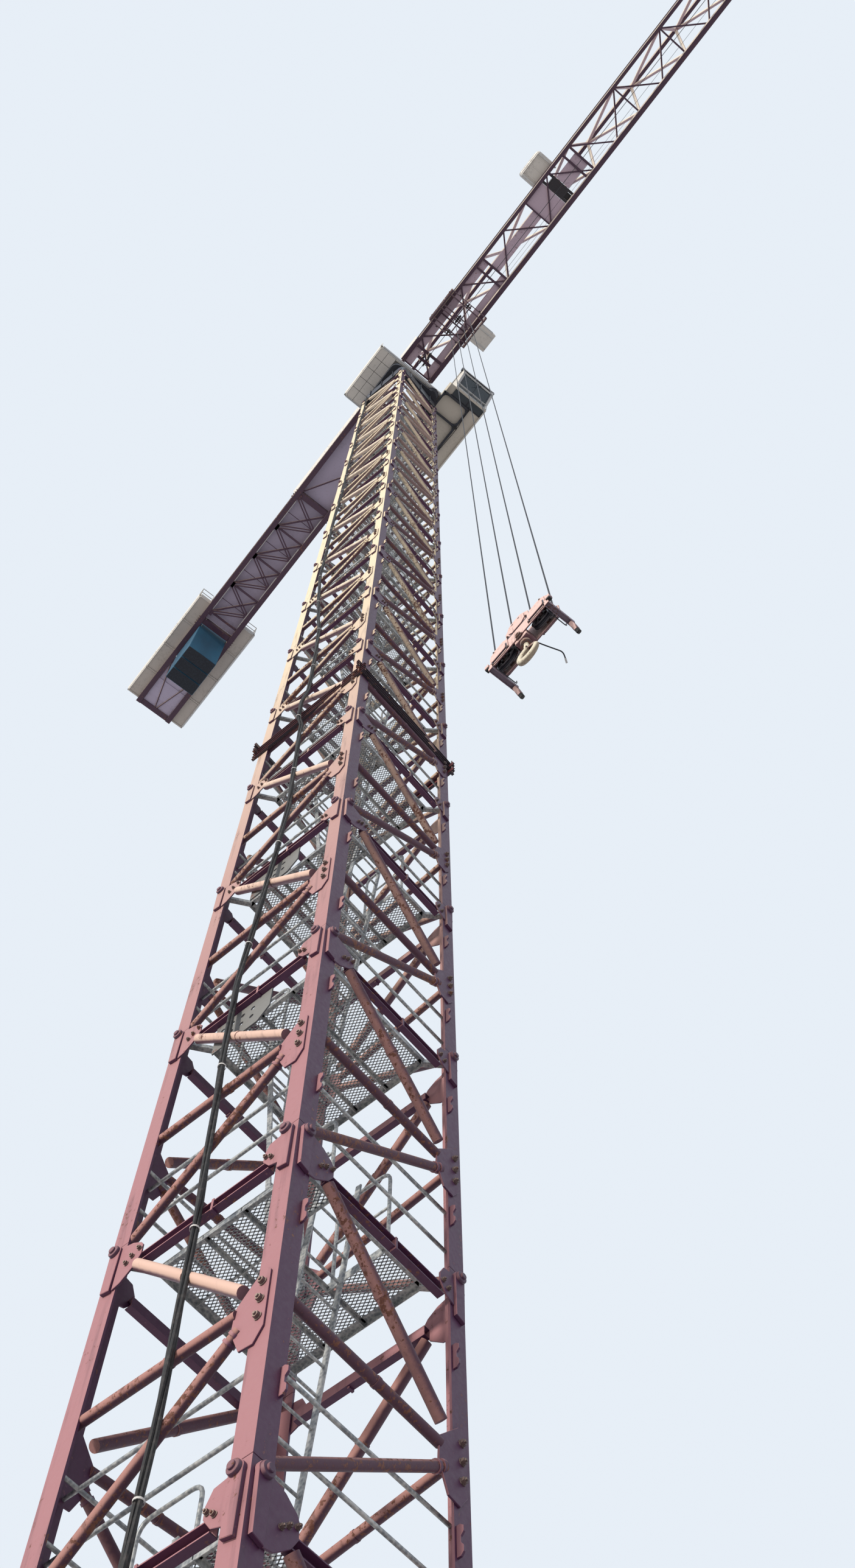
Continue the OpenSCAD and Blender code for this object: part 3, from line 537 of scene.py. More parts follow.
def face_bay(kit, foot):
    """The bracing of one bay of the front face: finish 0 plum, 1 rusting tube, 2 top tube, 3 bolts."""
    def spot(x, out, share):
        return Vector((x, -out, foot + share * section_h))

    for left, right, radius, finish, rings, ring_h, ring_finish in (
            (spot(-615, half_w - 5, 0.872), spot(690, half_w + 5, 0.472), top_tube_r, 2,
             ((0.475, 0.50),), 6, 2),
            (spot(-940, 950, 0.4456), spot(672, half_w + 5, 0.407), tube_r, 1, ((0.59, 0.61),), 5, 1),
            (spot(-925, 950, 0.002), spot(716, half_w + 5, 0.357), tube_r, 1,
             ((0.943, 0.955), (0.973, 0.985)), 9, 0)):
        kit.add(rod(left, right, radius, 14), finish=finish)
        for low, high in rings:
            kit.add(rod(left.lerp(right, low), left.lerp(right, high), radius + ring_h, 14),
                    finish=ring_finish)
    kit.add(knee, stood(0, -proud, foot))
    for share in (0.354, 0.404, 0.454):
        kit.add(knee_bolt, stood(893, -proud - 18, foot + share * section_h), finish=3)


def joint_beam(kit, joint):
    """The channel under a joint with its end plates and bolts."""
    beam_z = joint - 360
    kit.add(left_plate, stood(0, -proud, joint))
    kit.add(right_plate, stood(0, -proud, joint))
    kit.add(channel, at(-640, -half_w + 62, beam_z - 51) @ turn(90) @ upright @ turn(180) @ at(0, -102, 0))
    kit.add(block((150, -half_w - 14, beam_z - 70), (176, -half_w + 50, beam_z + 66), 3))
    for x, rise in ((-610, 100), (-680, 60), (-735, 14), (716, 86), (776, 40)):
        kit.add(beam_bolt, stood(x, -proud - 16, beam_z + rise), finish=3)


for quarter, side_name in enumerate(("front", "right", "back", "left")):
    around = turn(90 * quarter)
    finishes = (plum, rusty_tube, sunned_tube if side_name == "front" else rusty_tube, bolt_black)
    face = Kit()
    face_bay(face, 0)
    joint_beam(face, section_h)
    face.piece(side_name + "_bracing", "mast", "plum_paint", *finishes,
               stands_for=["mast_face_" + side_name], place=around @ at(0, 0, base_h),
               count=sections, pitch=section_h)
    foot_face = Kit()
    face_bay(foot_face, base_h - section_h)
    joint_beam(foot_face, base_h)
    foot_face.add(rod((-940, -950, base_h - section_h - 180), (940, -950, base_beam_h + 120), tube_r, 14),
                  finish=1)
    foot_face.piece(side_name + "_base_bracing", "mast", "plum_paint", *finishes, place=around)

# Mast floors
# A floor of zinc-coated expanded metal in an angle frame hangs inside the legs at every joint. Its
# hatch is on the right at one level and on the left at the next.


def galvanised(name, dark, light, roughness=0.45, stain=0.3):
    """Zinc-coated steel with its spangle, dull white bloom and a little brown staining."""
    finish = Finish(name, Metallic=0.35)
    spangle = finish.node("TexVoronoi", {}, finish.place, Scale=70, out=0)
    bloom = finish.noise(9, 4)
    zinc = finish.mix((spangle * 0.8 + bloom - 0.35).step(0.2, 1.0), dark, light)
    stained = finish.mix(finish.noise(5, 5, stretch=(1, 1, 0.3)).step(0.60, 0.75) * stain, zinc,
                         tone(120, 92, 66))
    finish.feed("Base Color", stained)
    finish.feed("Roughness", roughness + 0.3 * (bloom - 0.5))
    finish.bump(bloom, 0.0008, 0.4)
    return finish


zinc = galvanised("zinc_coat", tone(128, 134, 138), tone(196, 198, 194))
zinc_floor = galvanised("zinc_floor", tone(108, 116, 122), tone(170, 172, 170), stain=0.5)
floor_z = -60
floor_x = 780
floor_front = -700
floor_back = 780
hatch_x = 140
hatch_y = 320
walk_x = -hatch_x - 130
strand_wide = 8
strand_thick = 5
mesh_long = 62
mesh_short = 36


def expanded_metal(low_x, low_y, high_x, high_y):
    """A panel of diamond mesh: two families of crossing strands, cut to the panel's edges."""
    work = bmesh.new()
    middle = at((low_x + high_x) / 2, (low_y + high_y) / 2, 0)
    reach = math.hypot(high_x - low_x, high_y - low_y)
    lean = math.degrees(math.atan2(mesh_short, mesh_long))
    spacing = mesh_long * math.sin(math.radians(lean))
    rows = int(reach / spacing / 2) + 1
    strand = Matrix.Diagonal((reach, strand_wide, strand_thick, 1))
    for side in both:
        for row in range(-rows, rows + 1):
            bmesh.ops.create_cube(work, size=1,
                                  matrix=middle @ turn(side * lean) @ at(0, row * spacing, 0) @ strand)
    for spot, way in (((low_x, 0, 0), (-1, 0, 0)), ((high_x, 0, 0), (1, 0, 0)),
                      ((0, low_y, 0), (0, -1, 0)), ((0, high_y, 0), (0, 1, 0))):
        everything = work.verts[:] + work.edges[:] + work.faces[:]
        bmesh.ops.bisect_plane(work, geom=everything, plane_co=spot, plane_no=way, clear_outer=True)
    return form(work)


panels = [expanded_metal(-floor_x, floor_front, walk_x, floor_back),
          expanded_metal(walk_x, floor_front, hatch_x, floor_back),
          expanded_metal(hatch_x, floor_front, floor_x, -hatch_y),
          expanded_metal(hatch_x, hatch_y, floor_x, floor_back)]
for first, label, side in ((0, "even", flip(1)), (1, "odd", flip(-1))):
    floor = Kit()
    for panel in panels:
        floor.add(panel, side)
    floor_frame = Kit()
    for y, s in ((floor_front, 1), (floor_back, -1)):
        floor_frame.add(block((-floor_x, y, -62), (floor_x, y + s * 7, 8), 1))
        floor_frame.add(block((-floor_x, y, -9), (floor_x, y + s * 62, -3)))
    for s in both:
        x = s * floor_x
        floor_frame.add(block((x, floor_front, -62), (x - s * 7, floor_back, 8), 1))
        floor_frame.add(block((x, floor_front, -9), (x - s * 62, floor_back, -3)))
        for y, sy in ((floor_front + 30, -1), (floor_back - 30, 1)):
            floor_frame.add(bar((x - s * 40, y, -40), (s * 968, sy * 968, -40), 60, 60, 4))
    for x in (walk_x, hatch_x):
        floor_frame.add(block((x - 4, floor_front, -52), (x + 4, floor_back, -3)), side)
        floor_frame.add(block((x - 24, floor_front, -9), (x + 24, floor_back, -3)), side)
    for y in (-hatch_y, hatch_y):
        floor_frame.add(block((hatch_x, y - 4, -52), (floor_x, y + 4, 40)), side)
    for y in (-240, 280):
        floor_frame.add(block((-floor_x, y - 3, -42), (hatch_x, y + 3, -3)), side)
    rows = {"place": at(0, 0, base_h + first * section_h + floor_z), "count": (sections + 1 - first) // 2,
            "pitch": 2 * section_h}
    floor.piece("floor_mesh_" + label, "mast", "galvanised_steel", zinc_floor, stands_for=["mast_platforms"],
                **rows)
    floor_frame.piece("floor_frames_" + label, "mast", "galvanised_steel", zinc, **rows)

# Ladders and guard rails
# A leaning ladder goes from each floor up through the next floor's hatch. Bent hand rails stand on
# both sides of the hatch, and two thin rails run along three sides of the mast.
stile_w = 60
stile_t = 18
ladder_half = 210
rung_pitch = 280
ladder_foot_x = 40
ladder_head_x = 520
ladder_over = 900
rail_r = 17
thin_r = 13
rail_out = 838
rail_end = half_w - angle_t + 2


def ladder(kit, foot, rise, side):
    for y in (-ladder_half, ladder_half):
        kit.add(bar((ladder_foot_x, y, foot), (ladder_head_x, y, foot + rise), stile_t, stile_w, 3), side)
    for rung in range(1, int((rise - 120) / rung_pitch) + 1):
        share = rung * rung_pitch / rise
        x, z = ladder_foot_x + (ladder_head_x - ladder_foot_x) * share, foot + rise * share
        kit.add(rod((x, -ladder_half, z), (x, ladder_half, z), thin_r, 8), side)


for first, label, way in ((0, "even", 1), (1, "odd", -1)):
    steps = Kit()
    ladder(steps, 0, section_h + ladder_over, flip(-way))
    low_x, high_x = hatch_x + 20, floor_x - 30
    for y in (-hatch_y - 30, hatch_y + 30):
        loop = bent([(low_x, y, 0), (low_x, y, 1050), (high_x, y, 1050), (high_x, y, 0)], 130, 5)
        steps.add(pipe(loop, rail_r, 10), flip(way))
        steps.add(rod((low_x, y, 560), (high_x, y, 560), thin_r, 8), flip(way))
    for level in (520, 1040):
        steps.add(rod((-rail_end, -rail_out, level), (rail_end, -rail_out, level), rail_r, 10))
        for s in both:
            steps.add(rod((s * rail_out, -rail_end, level), (s * rail_out, rail_end, level), rail_r, 10))
    steps.piece("ladders_" + label, "mast", "galvanised_steel", zinc, stands_for=["mast_ladders"],
                place=at(0, 0, base_h + first * section_h + floor_z), count=(sections - first) // 2,
                pitch=2 * section_h)
foot_steps = Kit()
ladder(foot_steps, base_beam_h, base_h + ladder_over - base_beam_h, Matrix())
foot_steps.piece("base_ladder", "mast", "galvanised_steel", zinc)

# Hanging plates
# Two grey plates with rows of round holes hang under the front channel of two joints, ready for a tie.
hung_low = -400
hung_high = 316
hung_depth = 470


def pierced(outline, holes, thick):
    """A plate cut to an outline, with round holes through it, each given by its middle and radius."""
    sheet = bpy.data.curves.new("sheet", "CURVE")
    sheet.dimensions = "2D"
    sheet.fill_mode = "BOTH"
    sheet.extrude = thick / 2
    for ring in [outline] + [arc(x, y, radius, 0, 336, 14) for x, y, radius in holes]:
        run = sheet.splines.new("POLY")
        run.points.add(len(ring) - 1)
        run.use_cyclic_u = True
        for point, (x, y) in zip(run.points, ring):
            point.co = (x, y, 0, 1)
    return from_curve(sheet)


grey_plate = painted("grey_plate", tone(86, 88, 90), tone(124, 124, 120), rust=0.15)
hole_rows = [(hung_low + 90 + 130 * column, -130 - 150 * row, 28) for column in range(4) for row in range(2)]
tie_plate = pierced([(hung_low, -hung_depth), (hung_high - 140, -hung_depth), (hung_high, -hung_depth + 150),
                     (hung_high, 0), (hung_low, 0)], hole_rows, 14)
hung = Kit()
for joint in (3, 4):
    hung.add(tie_plate, stood(0, -half_w + 53, base_h + joint * section_h - 420))
hung.piece("hanging_plates", "mast", "galvanised_steel", grey_plate)

# Tie collar
# Two rings of channels are clamped round the mast, one above the other, with threaded rods through
# their corners. Their ends run past the legs.
collar_paint = painted("collar_paint", tone(40, 28, 40), tone(128, 64, 66), rust=0.1)
dress("tie_collar", collar_paint)
collar_low = base_h + 5.5 * section_h - 300
collar_half = half_w + 110
ring_rise = 210
clamps = Kit()
for quarter in range(4):
    around = turn(90 * quarter)
    lowest = 105 * (quarter % 2)
    for z in (lowest, lowest + ring_rise):
        for low, high, outer, inner in ((z, z + 100, 9, 1), (z, z + 8, 45, 5), (z + 92, z + 100, 45, 5)):
            clamps.add(block((-collar_half, -half_w - outer, low), (collar_half, -half_w - inner, high), 1),
                       around)
    clamps.add(rod((-1070, -half_w - 24, -24), (-1070, -half_w - 24, 440), 11, 8), around, finish=1)
clamps.piece("collar_channels", "mast", "dark_paint", collar_paint, bolt_black, stands_for=["tie_collar"],
             place=at(0, 0, collar_low))

# Power cable
# Three black cables run up the front face as one loose bundle, held to the bracing by pale ties. The
# route is a list of places across the face, distances off it and heights counted in sections.
cable_route = [(100, 0, -1.4), (120, 0, 1.2), (60, 0, 1.9), (-100, 0, 3), (40, 0, 4.3), (-60, 0, 5.3),
               (-70, 75, 5.36), (-90, 75, 5.58), (-100, 0, 5.8), (-200, 0, 6.9), (-560, 34, 8.4),
               (-620, 34, 10.8), (-700, 34, sections)]
cable_r = 17
cable_step = 260
rubber = Finish("cable_sheath", Specular_IOR_Level=0.4)
scuffed = rubber.noise(30, 4)
rubber.feed("Base Color", rubber.mix(scuffed.step(0.45, 0.8), tone(22, 22, 24), tone(74, 70, 68)))
rubber.feed("Roughness", 0.45 + 0.3 * scuffed)
rubber.bump(scuffed, 0.001, 0.4)
tie_white = Finish("tie_strap")
tie_white.feed("Base Color", tie_white.mix(tie_white.noise(40), tone(196, 196, 190), tone(228, 226, 220)))
tie_white.feed("Roughness", 0.5 + 0.2 * tie_white.noise(60))
knots = [Vector((across, -1052 - off, base_h + level * section_h)) for across, off, level in cable_route]
line = []
for before, after in zip(knots, knots[1:]):
    parts = max(2, int((after - before).length / cable_step))
    line += [before.lerp(after, i / parts) for i in range(parts)]
line.append(knots[-1])
line = [spot + Vector((20 * math.sin(0.21 * i) + 14 * math.sin(0.083 * i + 1), 0, 0))
        for i, spot in enumerate(line)]
bundle = Kit()
for strand in range(3):
    swings = [0.33 * i + strand * 2.1 for i in range(len(line))]
    bundle.add(pipe([spot + Vector((21 * math.cos(swing), 15 * math.sin(swing), 0))
                     for spot, swing in zip(line, swings)], cable_r, 8))
band = turned([(37, -8), (40, -8), (40, 8), (37, 8), (37, -8)], 12)
bundle.add(band, *(at(*spot) for spot in line[4:-2:9]), finish=1)
bundle.piece("cable_bundle", "mast", "cable_rubber", rubber, tie_white, stands_for=["power_cable"])

# Slewing ring and turntable
# A black drum on the mast carries the ring, and a black box with rounded corners turns on it. Both are
# bolted to the ring by a close circle of studs, and stiffened by ribs.
travel = next(j for j in frame["record"]["behaviour"]["joints"] if j["name"] == "trolley_travel")
jib_frame = turn(math.degrees(math.atan2(travel["axis"][1], travel["axis"][0])))
ring_h = 1340
turn_z = mast_top + ring_h + 110.6
turn_top = turn_z + 860
black = painted("black_paint_satin", tone(26, 30, 40), tone(70, 76, 88), dirt=0.2, roughness=0.38)
machined = painted("greased_steel", tone(28, 24, 32), tone(80, 76, 80), rust=0.03, roughness=0.4)
for node in ("ring_support", "turntable"):
    dress(node, black)
dress("slewing_ring", machined)
stud = bolt(44, 30)
studs = 40
ring_studs = Kit()
for i in range(studs):
    ring_studs.add(stud, turn(360 / studs * i) @ at(880, 0, ring_h - 1) @ turn(180, "X"))
for quarter in range(4):
    around = turn(90 * quarter)
    for x in (-560, 0, 560):
        ring_studs.add(block((x - 9, -1100, 60), (x + 9, -1035, ring_h - 60), 2), around, finish=1)
    for x in (-leg_mid, leg_mid):
        ring_studs.add(rod((x, -1068, 130), (x, -1030, 130), 58, 20), around)
        ring_studs.add(block((x - 90, -1062, 4), (x + 90, -1038, 230), 6), around, finish=1)
ring_studs.piece("ring_support_fittings", "mast", "black_paint", machined, black, place=at(0, 0, mast_top))

# Slewing deck
# A white floor of folded panels lies round the turntable. From below it is a shallow tray with an
# upturned rim, and its panels show as seams over light joists.
white = painted("white_paint_weathered", tone(186, 188, 186), tone(236, 233, 222), rust=0.06, dirt=0.3,
                roughness=0.42)
# The underside grey is paler than its paint, to stand in for light bounced up from the ground: painted light.
underside_grey_and_painted_bounce = painted("deck_underside", tone(200, 197, 190), tone(190, 190, 184), dirt=0.3, roughness=0.6)
# The deck body is dark grey: its floor as seen from above, and painted shade in the seams between the panels
# below.
deck_floor_and_seam_shade = painted("deck_floor_and_seam_shade", tone(92, 90, 86), tone(150, 148, 140), dirt=0.4)
dress("slewing_deck", deck_floor_and_seam_shade)
deck_z = turn_z + 540
on_deck = at(0, 0, deck_z)
deck_front = 1200
deck_out = 1860


def lip(kit, line, high, lean=26, finish=0):
    """Leaning edge strips round a floor: its corners go anticlockwise, and each strip's foot leans in."""
    for start, end in zip(line, line[1:]):
        start, end = Vector(start), Vector(end)
        run = end - start
        strip = block((-8, -5, -high / 2), (run.length + 8, 5, high / 2), 3)
        kit.add(strip, at(*start) @ turn(math.degrees(math.atan2(run.y, run.x))) @ turn(lean, "X"),
                finish=finish)


slew_drive = turned([(0, 0), (150, 0), (235, 70), (235, 90), (262, 90), (262, 120), (235, 120), (235, 400),
                     (180, 440), (0, 440)], 36)
drives = Kit()
drives.add(slew_drive)
for i in range(12):
    drives.add(stud, turn(30 * i) @ at(249, 0, 120), finish=1)
drives.piece("slewing_drive", "upperworks", "black_paint", black, bolt_black,
             place=at(1000, 800, turn_z + 25))
rim = Kit()
rim_run = [(-deck_front, 1100, -40), (-deck_front, -deck_out + 90, -40), (-deck_front + 90, -deck_out, -40),
           (deck_front - 90, -deck_out, -40), (deck_front, -deck_out + 90, -40), (deck_front, 1100, -40)]
lip(rim, rim_run, 170)
for column in range(5):
    low_u = -deck_front + 20 + 472 * column
    for low_v, high_v in ((-deck_out + 24, -1492), (-1478, -1106)):
        rim.add(block((low_u + 8, low_v, -89), (low_u + 464, high_v, -81), 3), finish=1)
for u in (-deck_front + 20, 1106):
    for low_v in (-1090, -350, 390):
        rim.add(block((u, low_v, -89), (u + 74, low_v + 726, -81), 3), finish=1)
rim.piece("deck_rim", "upperworks", "white_paint", white, underside_grey_and_painted_bounce, place=on_deck)

# Switch cabinet
# A white steel cabinet stands on the deck. Its doors, handles, louvres and roof are added to the box.
dress("switch_cabinet", white)
cabinet_h = 1750
cabinet_rear, cabinet_front, cabinet_out, cabinet_in = -900, 700, -deck_out + 120, -1160
doors = Kit()
door_w = (cabinet_front - cabinet_rear) / 3
for i in range(3):
    left = cabinet_rear + door_w * i
    right = left + door_w
    for face_v, away in ((cabinet_out, -1), (cabinet_in, 1)):
        doors.add(block((left + 14, face_v, 60), (right - 14, face_v + away * 14, cabinet_h - 60), 4))
        doors.add(block((right - 70, face_v, 800), (right - 46, face_v + away * 40, 960), 5), finish=1)
    for z in range(260, 480, 34):
        doors.add(bar((left + 90, cabinet_out - 18, z), (right - 130, cabinet_out - 18, z), 12, 16), finish=1)
doors.add(block((cabinet_rear - 40, cabinet_out - 50, cabinet_h),
                (cabinet_front + 40, cabinet_in + 40, cabinet_h + 40), 12))
doors.piece("cabinet_doors", "upperworks", "white_paint", white, black, place=on_deck)

# Railings
# Every railing on the crane is a welded tube rail: posts, a hand rail, a knee rail and a toe board.
rail_h = 1100
post_r = 17


def railing(kit, start, end, spaces, toe=True):
    start, end = Vector(start), Vector(end)
    up = Vector((0, 0, rail_h))
    for i in range(spaces + 1):
        foot = start.lerp(end, i / spaces)
        kit.add(rod(foot, foot + up, post_r, 10))
        kit.add(rod(foot, foot + Vector((0, 0, 14)), post_r + 22, 10))
    for share in (0.5, 1.0):
        kit.add(rod(start + up * share, end + up * share, post_r, 10))
    if toe:
        kit.add(bar(start + Vector((0, 0, 62)), end + Vector((0, 0, 62)), 6, 110))


deck_rail = Kit()
railing(deck_rail, (-1180, -1840, 0), (1180, -1840, 0), 3)
railing(deck_rail, (-1180, 1200, 0), (-1180, 2880, 0), 2)
railing(deck_rail, (-1160, -1840, 0), (-1160, -1160, 0), 1)
deck_rail.piece("deck_tube_rails", "upperworks", "white_paint", white, stands_for=["deck_rails"],
                place=on_deck)

# Cab support
# A black frame of box tubes with thick rounded corners reaches out beside the turntable. Cream floor
# panels lie on it, and the cab stands on its front end.
frame_mid = -170
frame_front = 1800
cab_out = 2900
beam_in = 1160
beam_out = 2330
beam_front = 1400
cream_panel = painted("cream_floor_panel", tone(184, 178, 166), tone(226, 218, 198), dirt=0.25,
                      roughness=0.6)
# The floor panes are opaque dark teal with a gloss: tinted glass, with the shade inside the cab painted in.
floor_glass_and_painted_shade = Finish("floor_glass_and_painted_shade", Roughness=0.08)
floor_glass_and_painted_shade.feed("Base Color", floor_glass_and_painted_shade.mix(floor_glass_and_painted_shade.noise(7, 3), tone(20, 30, 38), tone(38, 52, 60)))
gusset = plate([(0, 0), (150, 0), (90, 26), (42, 60), (18, 104), (0, 160)], 150)
carrier = Kit()
for v in (beam_in, beam_out):
    carrier.add(bar((-1200, v, frame_mid), (beam_front + 40, v, frame_mid), 84, 160, 14))
for u in (-1160, 560, beam_front):
    carrier.add(bar((u, 1110, frame_mid), (u, beam_out + 40, frame_mid), 84, 160, 14))
    for v in (beam_in, beam_out):
        for su, sv in corners:
            if -1200 < u + su * 60 < beam_front + 20 and beam_in < v + sv * 60 < beam_out:
                carrier.add(gusset, at(u + su * 40, v + sv * 40, frame_mid - 75)
                            @ flip(su) @ flip(sv, (0, 1, 0)))
carrier.add(rod((560, beam_out, -270), (560, beam_out, -240), 74, 24), finish=2)
carrier.add(block((-1200, 1110, -60), (frame_front, cab_out, 0), 5), finish=1)
carrier.add(block((-1185, 1125, -92), (beam_front + 40, 2890, -62), 8), finish=1)
for v, lean in ((1130, 24), (2880, -24)):
    carrier.add(block((-1190, -5, -80), (frame_front, 5, 80), 3), at(0, v, -100) @ turn(lean, "X"), finish=1)
for low_v, high_v in ((1440, 2130), (2170, 2860)):
    carrier.add(block((beam_front + 70, low_v, -90), (frame_front - 40, high_v, -64), 4), finish=3)
carrier.add(bar((beam_front + 40, 2150, -84), (frame_front, 2150, -84), 34, 40, 3))
carrier.add(bar((beam_front + 50, 1400, -84), (beam_front + 50, cab_out, -84), 40, 50, 4))
carrier.add(bar((frame_front - 16, 1400, -86), (frame_front - 16, cab_out, -86), 70, 60, 6), finish=1)
carrier.add(pipe(bent([(-1150, 2300, -260), (-500, 2380, -270), (560, 2420, -266), (1500, 2300, -250)], 200),
                 14, 8), finish=2)
carrier.piece("cab_carrier", "upperworks", "black_paint", black, cream_panel, rubber, floor_glass_and_painted_shade,
              stands_for=["cab_support"], place=on_deck)

# Cab
# A white sheet-steel cab with black rubber round its panes. The front pane leans in under a white sill,
# and a lamp is fixed at each top corner of the front.
dress("cab_body", white)
glazing = Finish("cab_glazing_tinted", Transmission_Weight=0.75, IOR=1.45)
haze = glazing.noise(6, 3)
glazing.feed("Base Color", glazing.mix(haze, tone(66, 84, 96), tone(92, 108, 118)))
glazing.feed("Roughness", 0.04 + 0.06 * haze)
dress("cab_glass", glazing)
lens = Finish("lamp_lens", Transmission_Weight=0.6)
lens.feed("Base Color", lens.mix(lens.noise(80), tone(200, 206, 210), tone(236, 238, 238)))
lens.feed("Roughness", 0.1 + 0.1 * lens.noise(50))
cab_in = 1400
cab_rear = 450
cab_front = 2320
cab_h = 2200
cab_mid = (cab_in + cab_out) / 2
nose = [(cab_front - 500, 80), (cab_front - 414, 700), (cab_front + 8, 1300), (cab_front + 8, 2090)]
trim = Kit()
for v, wide, deep, edge, finish in (
        (cab_in + 120, 46, 20, 4, 1), (cab_mid, 26, 20, 4, 1), (cab_out - 120, 46, 20, 4, 1),
        (cab_in + 24, 60, 34, 6, 0), (cab_out - 24, 60, 34, 6, 0)):
    for (low_u, low_z), (high_u, high_z) in zip(nose, nose[1:]):
        trim.add(bar((low_u, v, low_z), (high_u, v, high_z), wide, deep, edge), finish=finish)
for u, z in nose:
    trim.add(bar((u + 4, cab_in, z), (u + 4, cab_out, z), 60, 44, 8), finish=int(z == nose[3][1]))
side_v = cab_out + 3
for z in (800, 2000):
    trim.add(bar((cab_rear + 480, side_v, z), (cab_front - 480, side_v, z), 12, 34, 3), finish=1)
for u in (cab_rear + 490, (cab_rear + cab_front) / 2, cab_front - 490):
    trim.add(bar((u, side_v, 800), (u, side_v, 2000), 12, 30, 3), finish=1)
trim.add(block((cab_rear - 40, cab_in - 40, cab_h), (cab_front + 60, cab_out + 40, cab_h + 60), 20))
trim.add(block((cab_rear + 200, cab_in + 300, cab_h + 60), (cab_rear + 1000, cab_out - 300, cab_h + 330), 30))
lamp_spots = [at(cab_front - 60, v, cab_h - 60) for v in (cab_in - 10, cab_out + 10)]
trim.add(rod((0, 0, 0), (90, 0, -60), 70, 20, 84), *lamp_spots, finish=1)
trim.add(rod((88, 0, -59), (96, 0, -64), 74, 20), *lamp_spots, finish=2)
trim.add(rod((-120, 0, 30), (0, 0, 0), 18, 10), *lamp_spots, finish=1)
trim.add(block((cab_rear + 260, cab_in - 16, 60), (cab_rear + 960, cab_in, 2000), 6))
trim.add(block((cab_rear + 340, cab_in - 22, 960), (cab_rear + 880, cab_in - 12, 1880), 4), finish=3)
handle_u = cab_rear + 1050
trim.add(pipe(bent([(handle_u, cab_in, 560), (handle_u, cab_in - 70, 560), (handle_u, cab_in - 70, 1700),
                    (handle_u, cab_in, 1700)], 40), 16, 8))
trim.add(rod((cab_front - 100, 2000, 1020), (cab_front + 30, 2350, 1330), 9, 8), finish=1)
trim.piece("cab_trim", "upperworks", "white_paint", white, black, lens, glazing, place=on_deck)

# Driver's seat
# A padded seat with two control boxes stands on the cab floor behind the front pane.
seat = Kit()
seat.add(rod((0, 0, 60), (0, 0, 420), 60, 16))
seat.add(block((-250, -250, 420), (250, 250, 540), 40))
seat.add(bar((-230, 0, 520), (-360, 0, 1180), 460, 110, 36))
for v in (-350, 350):
    seat.add(block((-120, v - 80, 60), (330, v + 80, 640), 20))
    seat.add(rod((220, v, 640), (240, v, 800), 12, 8))
    seat.add(rod((240, v, 790), (246, v, 850), 28, 12))
seat.piece("driver_seat", "upperworks", "black_paint", rubber, place=at(1180, cab_mid, deck_z))

# Tower head
# Four posts and a top rail join the turntable to both jibs. Eye plates and pins show where the jibs
# are hung, and a ladder goes up between the posts.
chord_z = turn_top + 2740
top_z = chord_z + 2600
on_chord = at(0, 0, chord_z)
gauge_half = 690
chord_half = 65
post_u = 900
# Jib paint is near cream where it faces the lamp and dark plum in shade: a painted lit and shaded pair.
jib_dark = painted("jib_paint_dark", tone(66, 42, 62), tone(226, 200, 176), rust=0.06)
# The lacing tubes are pale on their shaded side as well: pale paint with painted light.
jib_tube = painted("jib_tube_pale_painted_light", tone(178, 154, 158), tone(250, 238, 214), dirt=0.15)
dress("tower_head", jib_dark)
pin = turned([(0, -80), (26, -80), (26, -66), (44, -62), (44, 62), (26, 66), (26, 80), (0, 80)], 20)
eye = plate([(-110, -90), (110, -90), (130, 0), (90, 80), (0, 110), (-90, 80), (-130, 0)], 24, 4)
head = Kit()
for su, sv in corners:
    u, v = su * post_u, sv * gauge_half
    head.add(eye, stood(su * 1000, v - 26, chord_z), stood(su * 1000, v + 50, chord_z))
    head.add(pin, stood(su * 1040, v, chord_z), finish=1)
    head.add(block((u - 130, v - 130, turn_top), (u + 130, v + 130, turn_top + 26), 4))
    for bx, by in corners:
        head.add(stud, at(u + bx * 96, v + by * 96, turn_top + 26), finish=1)
    head.add(bar((u, v, turn_top + 120), (u, -v, chord_z - 180), 70, 70, 8))
for su in both:
    head.add(pin, stood(su * 1000, 0, top_z), finish=1)
for v in (-180, 180):
    head.add(rod((-740, v, deck_z + 10), (-740, v, chord_z + 900), 20, 8), finish=2)
for rung in range(22):
    z = deck_z + 280 + rung * 260
    head.add(rod((-740, -180, z), (-740, 180, z), thin_r, 8), finish=2)
head.piece("head_fittings", "upperworks", "plum_paint", jib_dark, bolt_black, zinc)

# Jib
# A three-sided lattice: two square lower chords that the trolley runs on, one upper chord, and round
# tubes between them. Heavier double frames show where its sections are pinned together.
root_u = 1000
first_station = 3440
bay_l = 2660
bays = 11
tip_u = first_station + bays * bay_l
apex_share = 0.28
lace_r = 62
for node in ("jib_lower_chords", "jib_top_chord", "jib_bottom_lacing", "jib_tip"):
    dress(node, jib_dark)


def station(k):
    return root_u if k < 0 else first_station + k * bay_l


def apex(k):
    return station(k) + apex_share * (station(k + 1) - station(k))


for s, label in ((1, "left"), (-1, "right")):
    lacing = Kit()
    for k in range(-1, bays):
        for foot in (station(k), station(k + 1)):
            low, high = Vector((foot, s * gauge_half, chord_z)), Vector((apex(k), 0, top_z))
            lacing.add(rod(low.lerp(high, 0.02), low.lerp(high, 0.98), lace_r, 12))
        lacing.add(plate([(-190, -30), (190, -30), (90, 130), (-90, 130)], 12, 2),
                   stood(station(k), s * (gauge_half - 40), chord_z + chord_half), finish=1)
    lacing.piece("jib_tubes_" + label, "upperworks", "plum_paint", jib_tube, jib_dark,
                 stands_for=["jib_lacing_" + label])

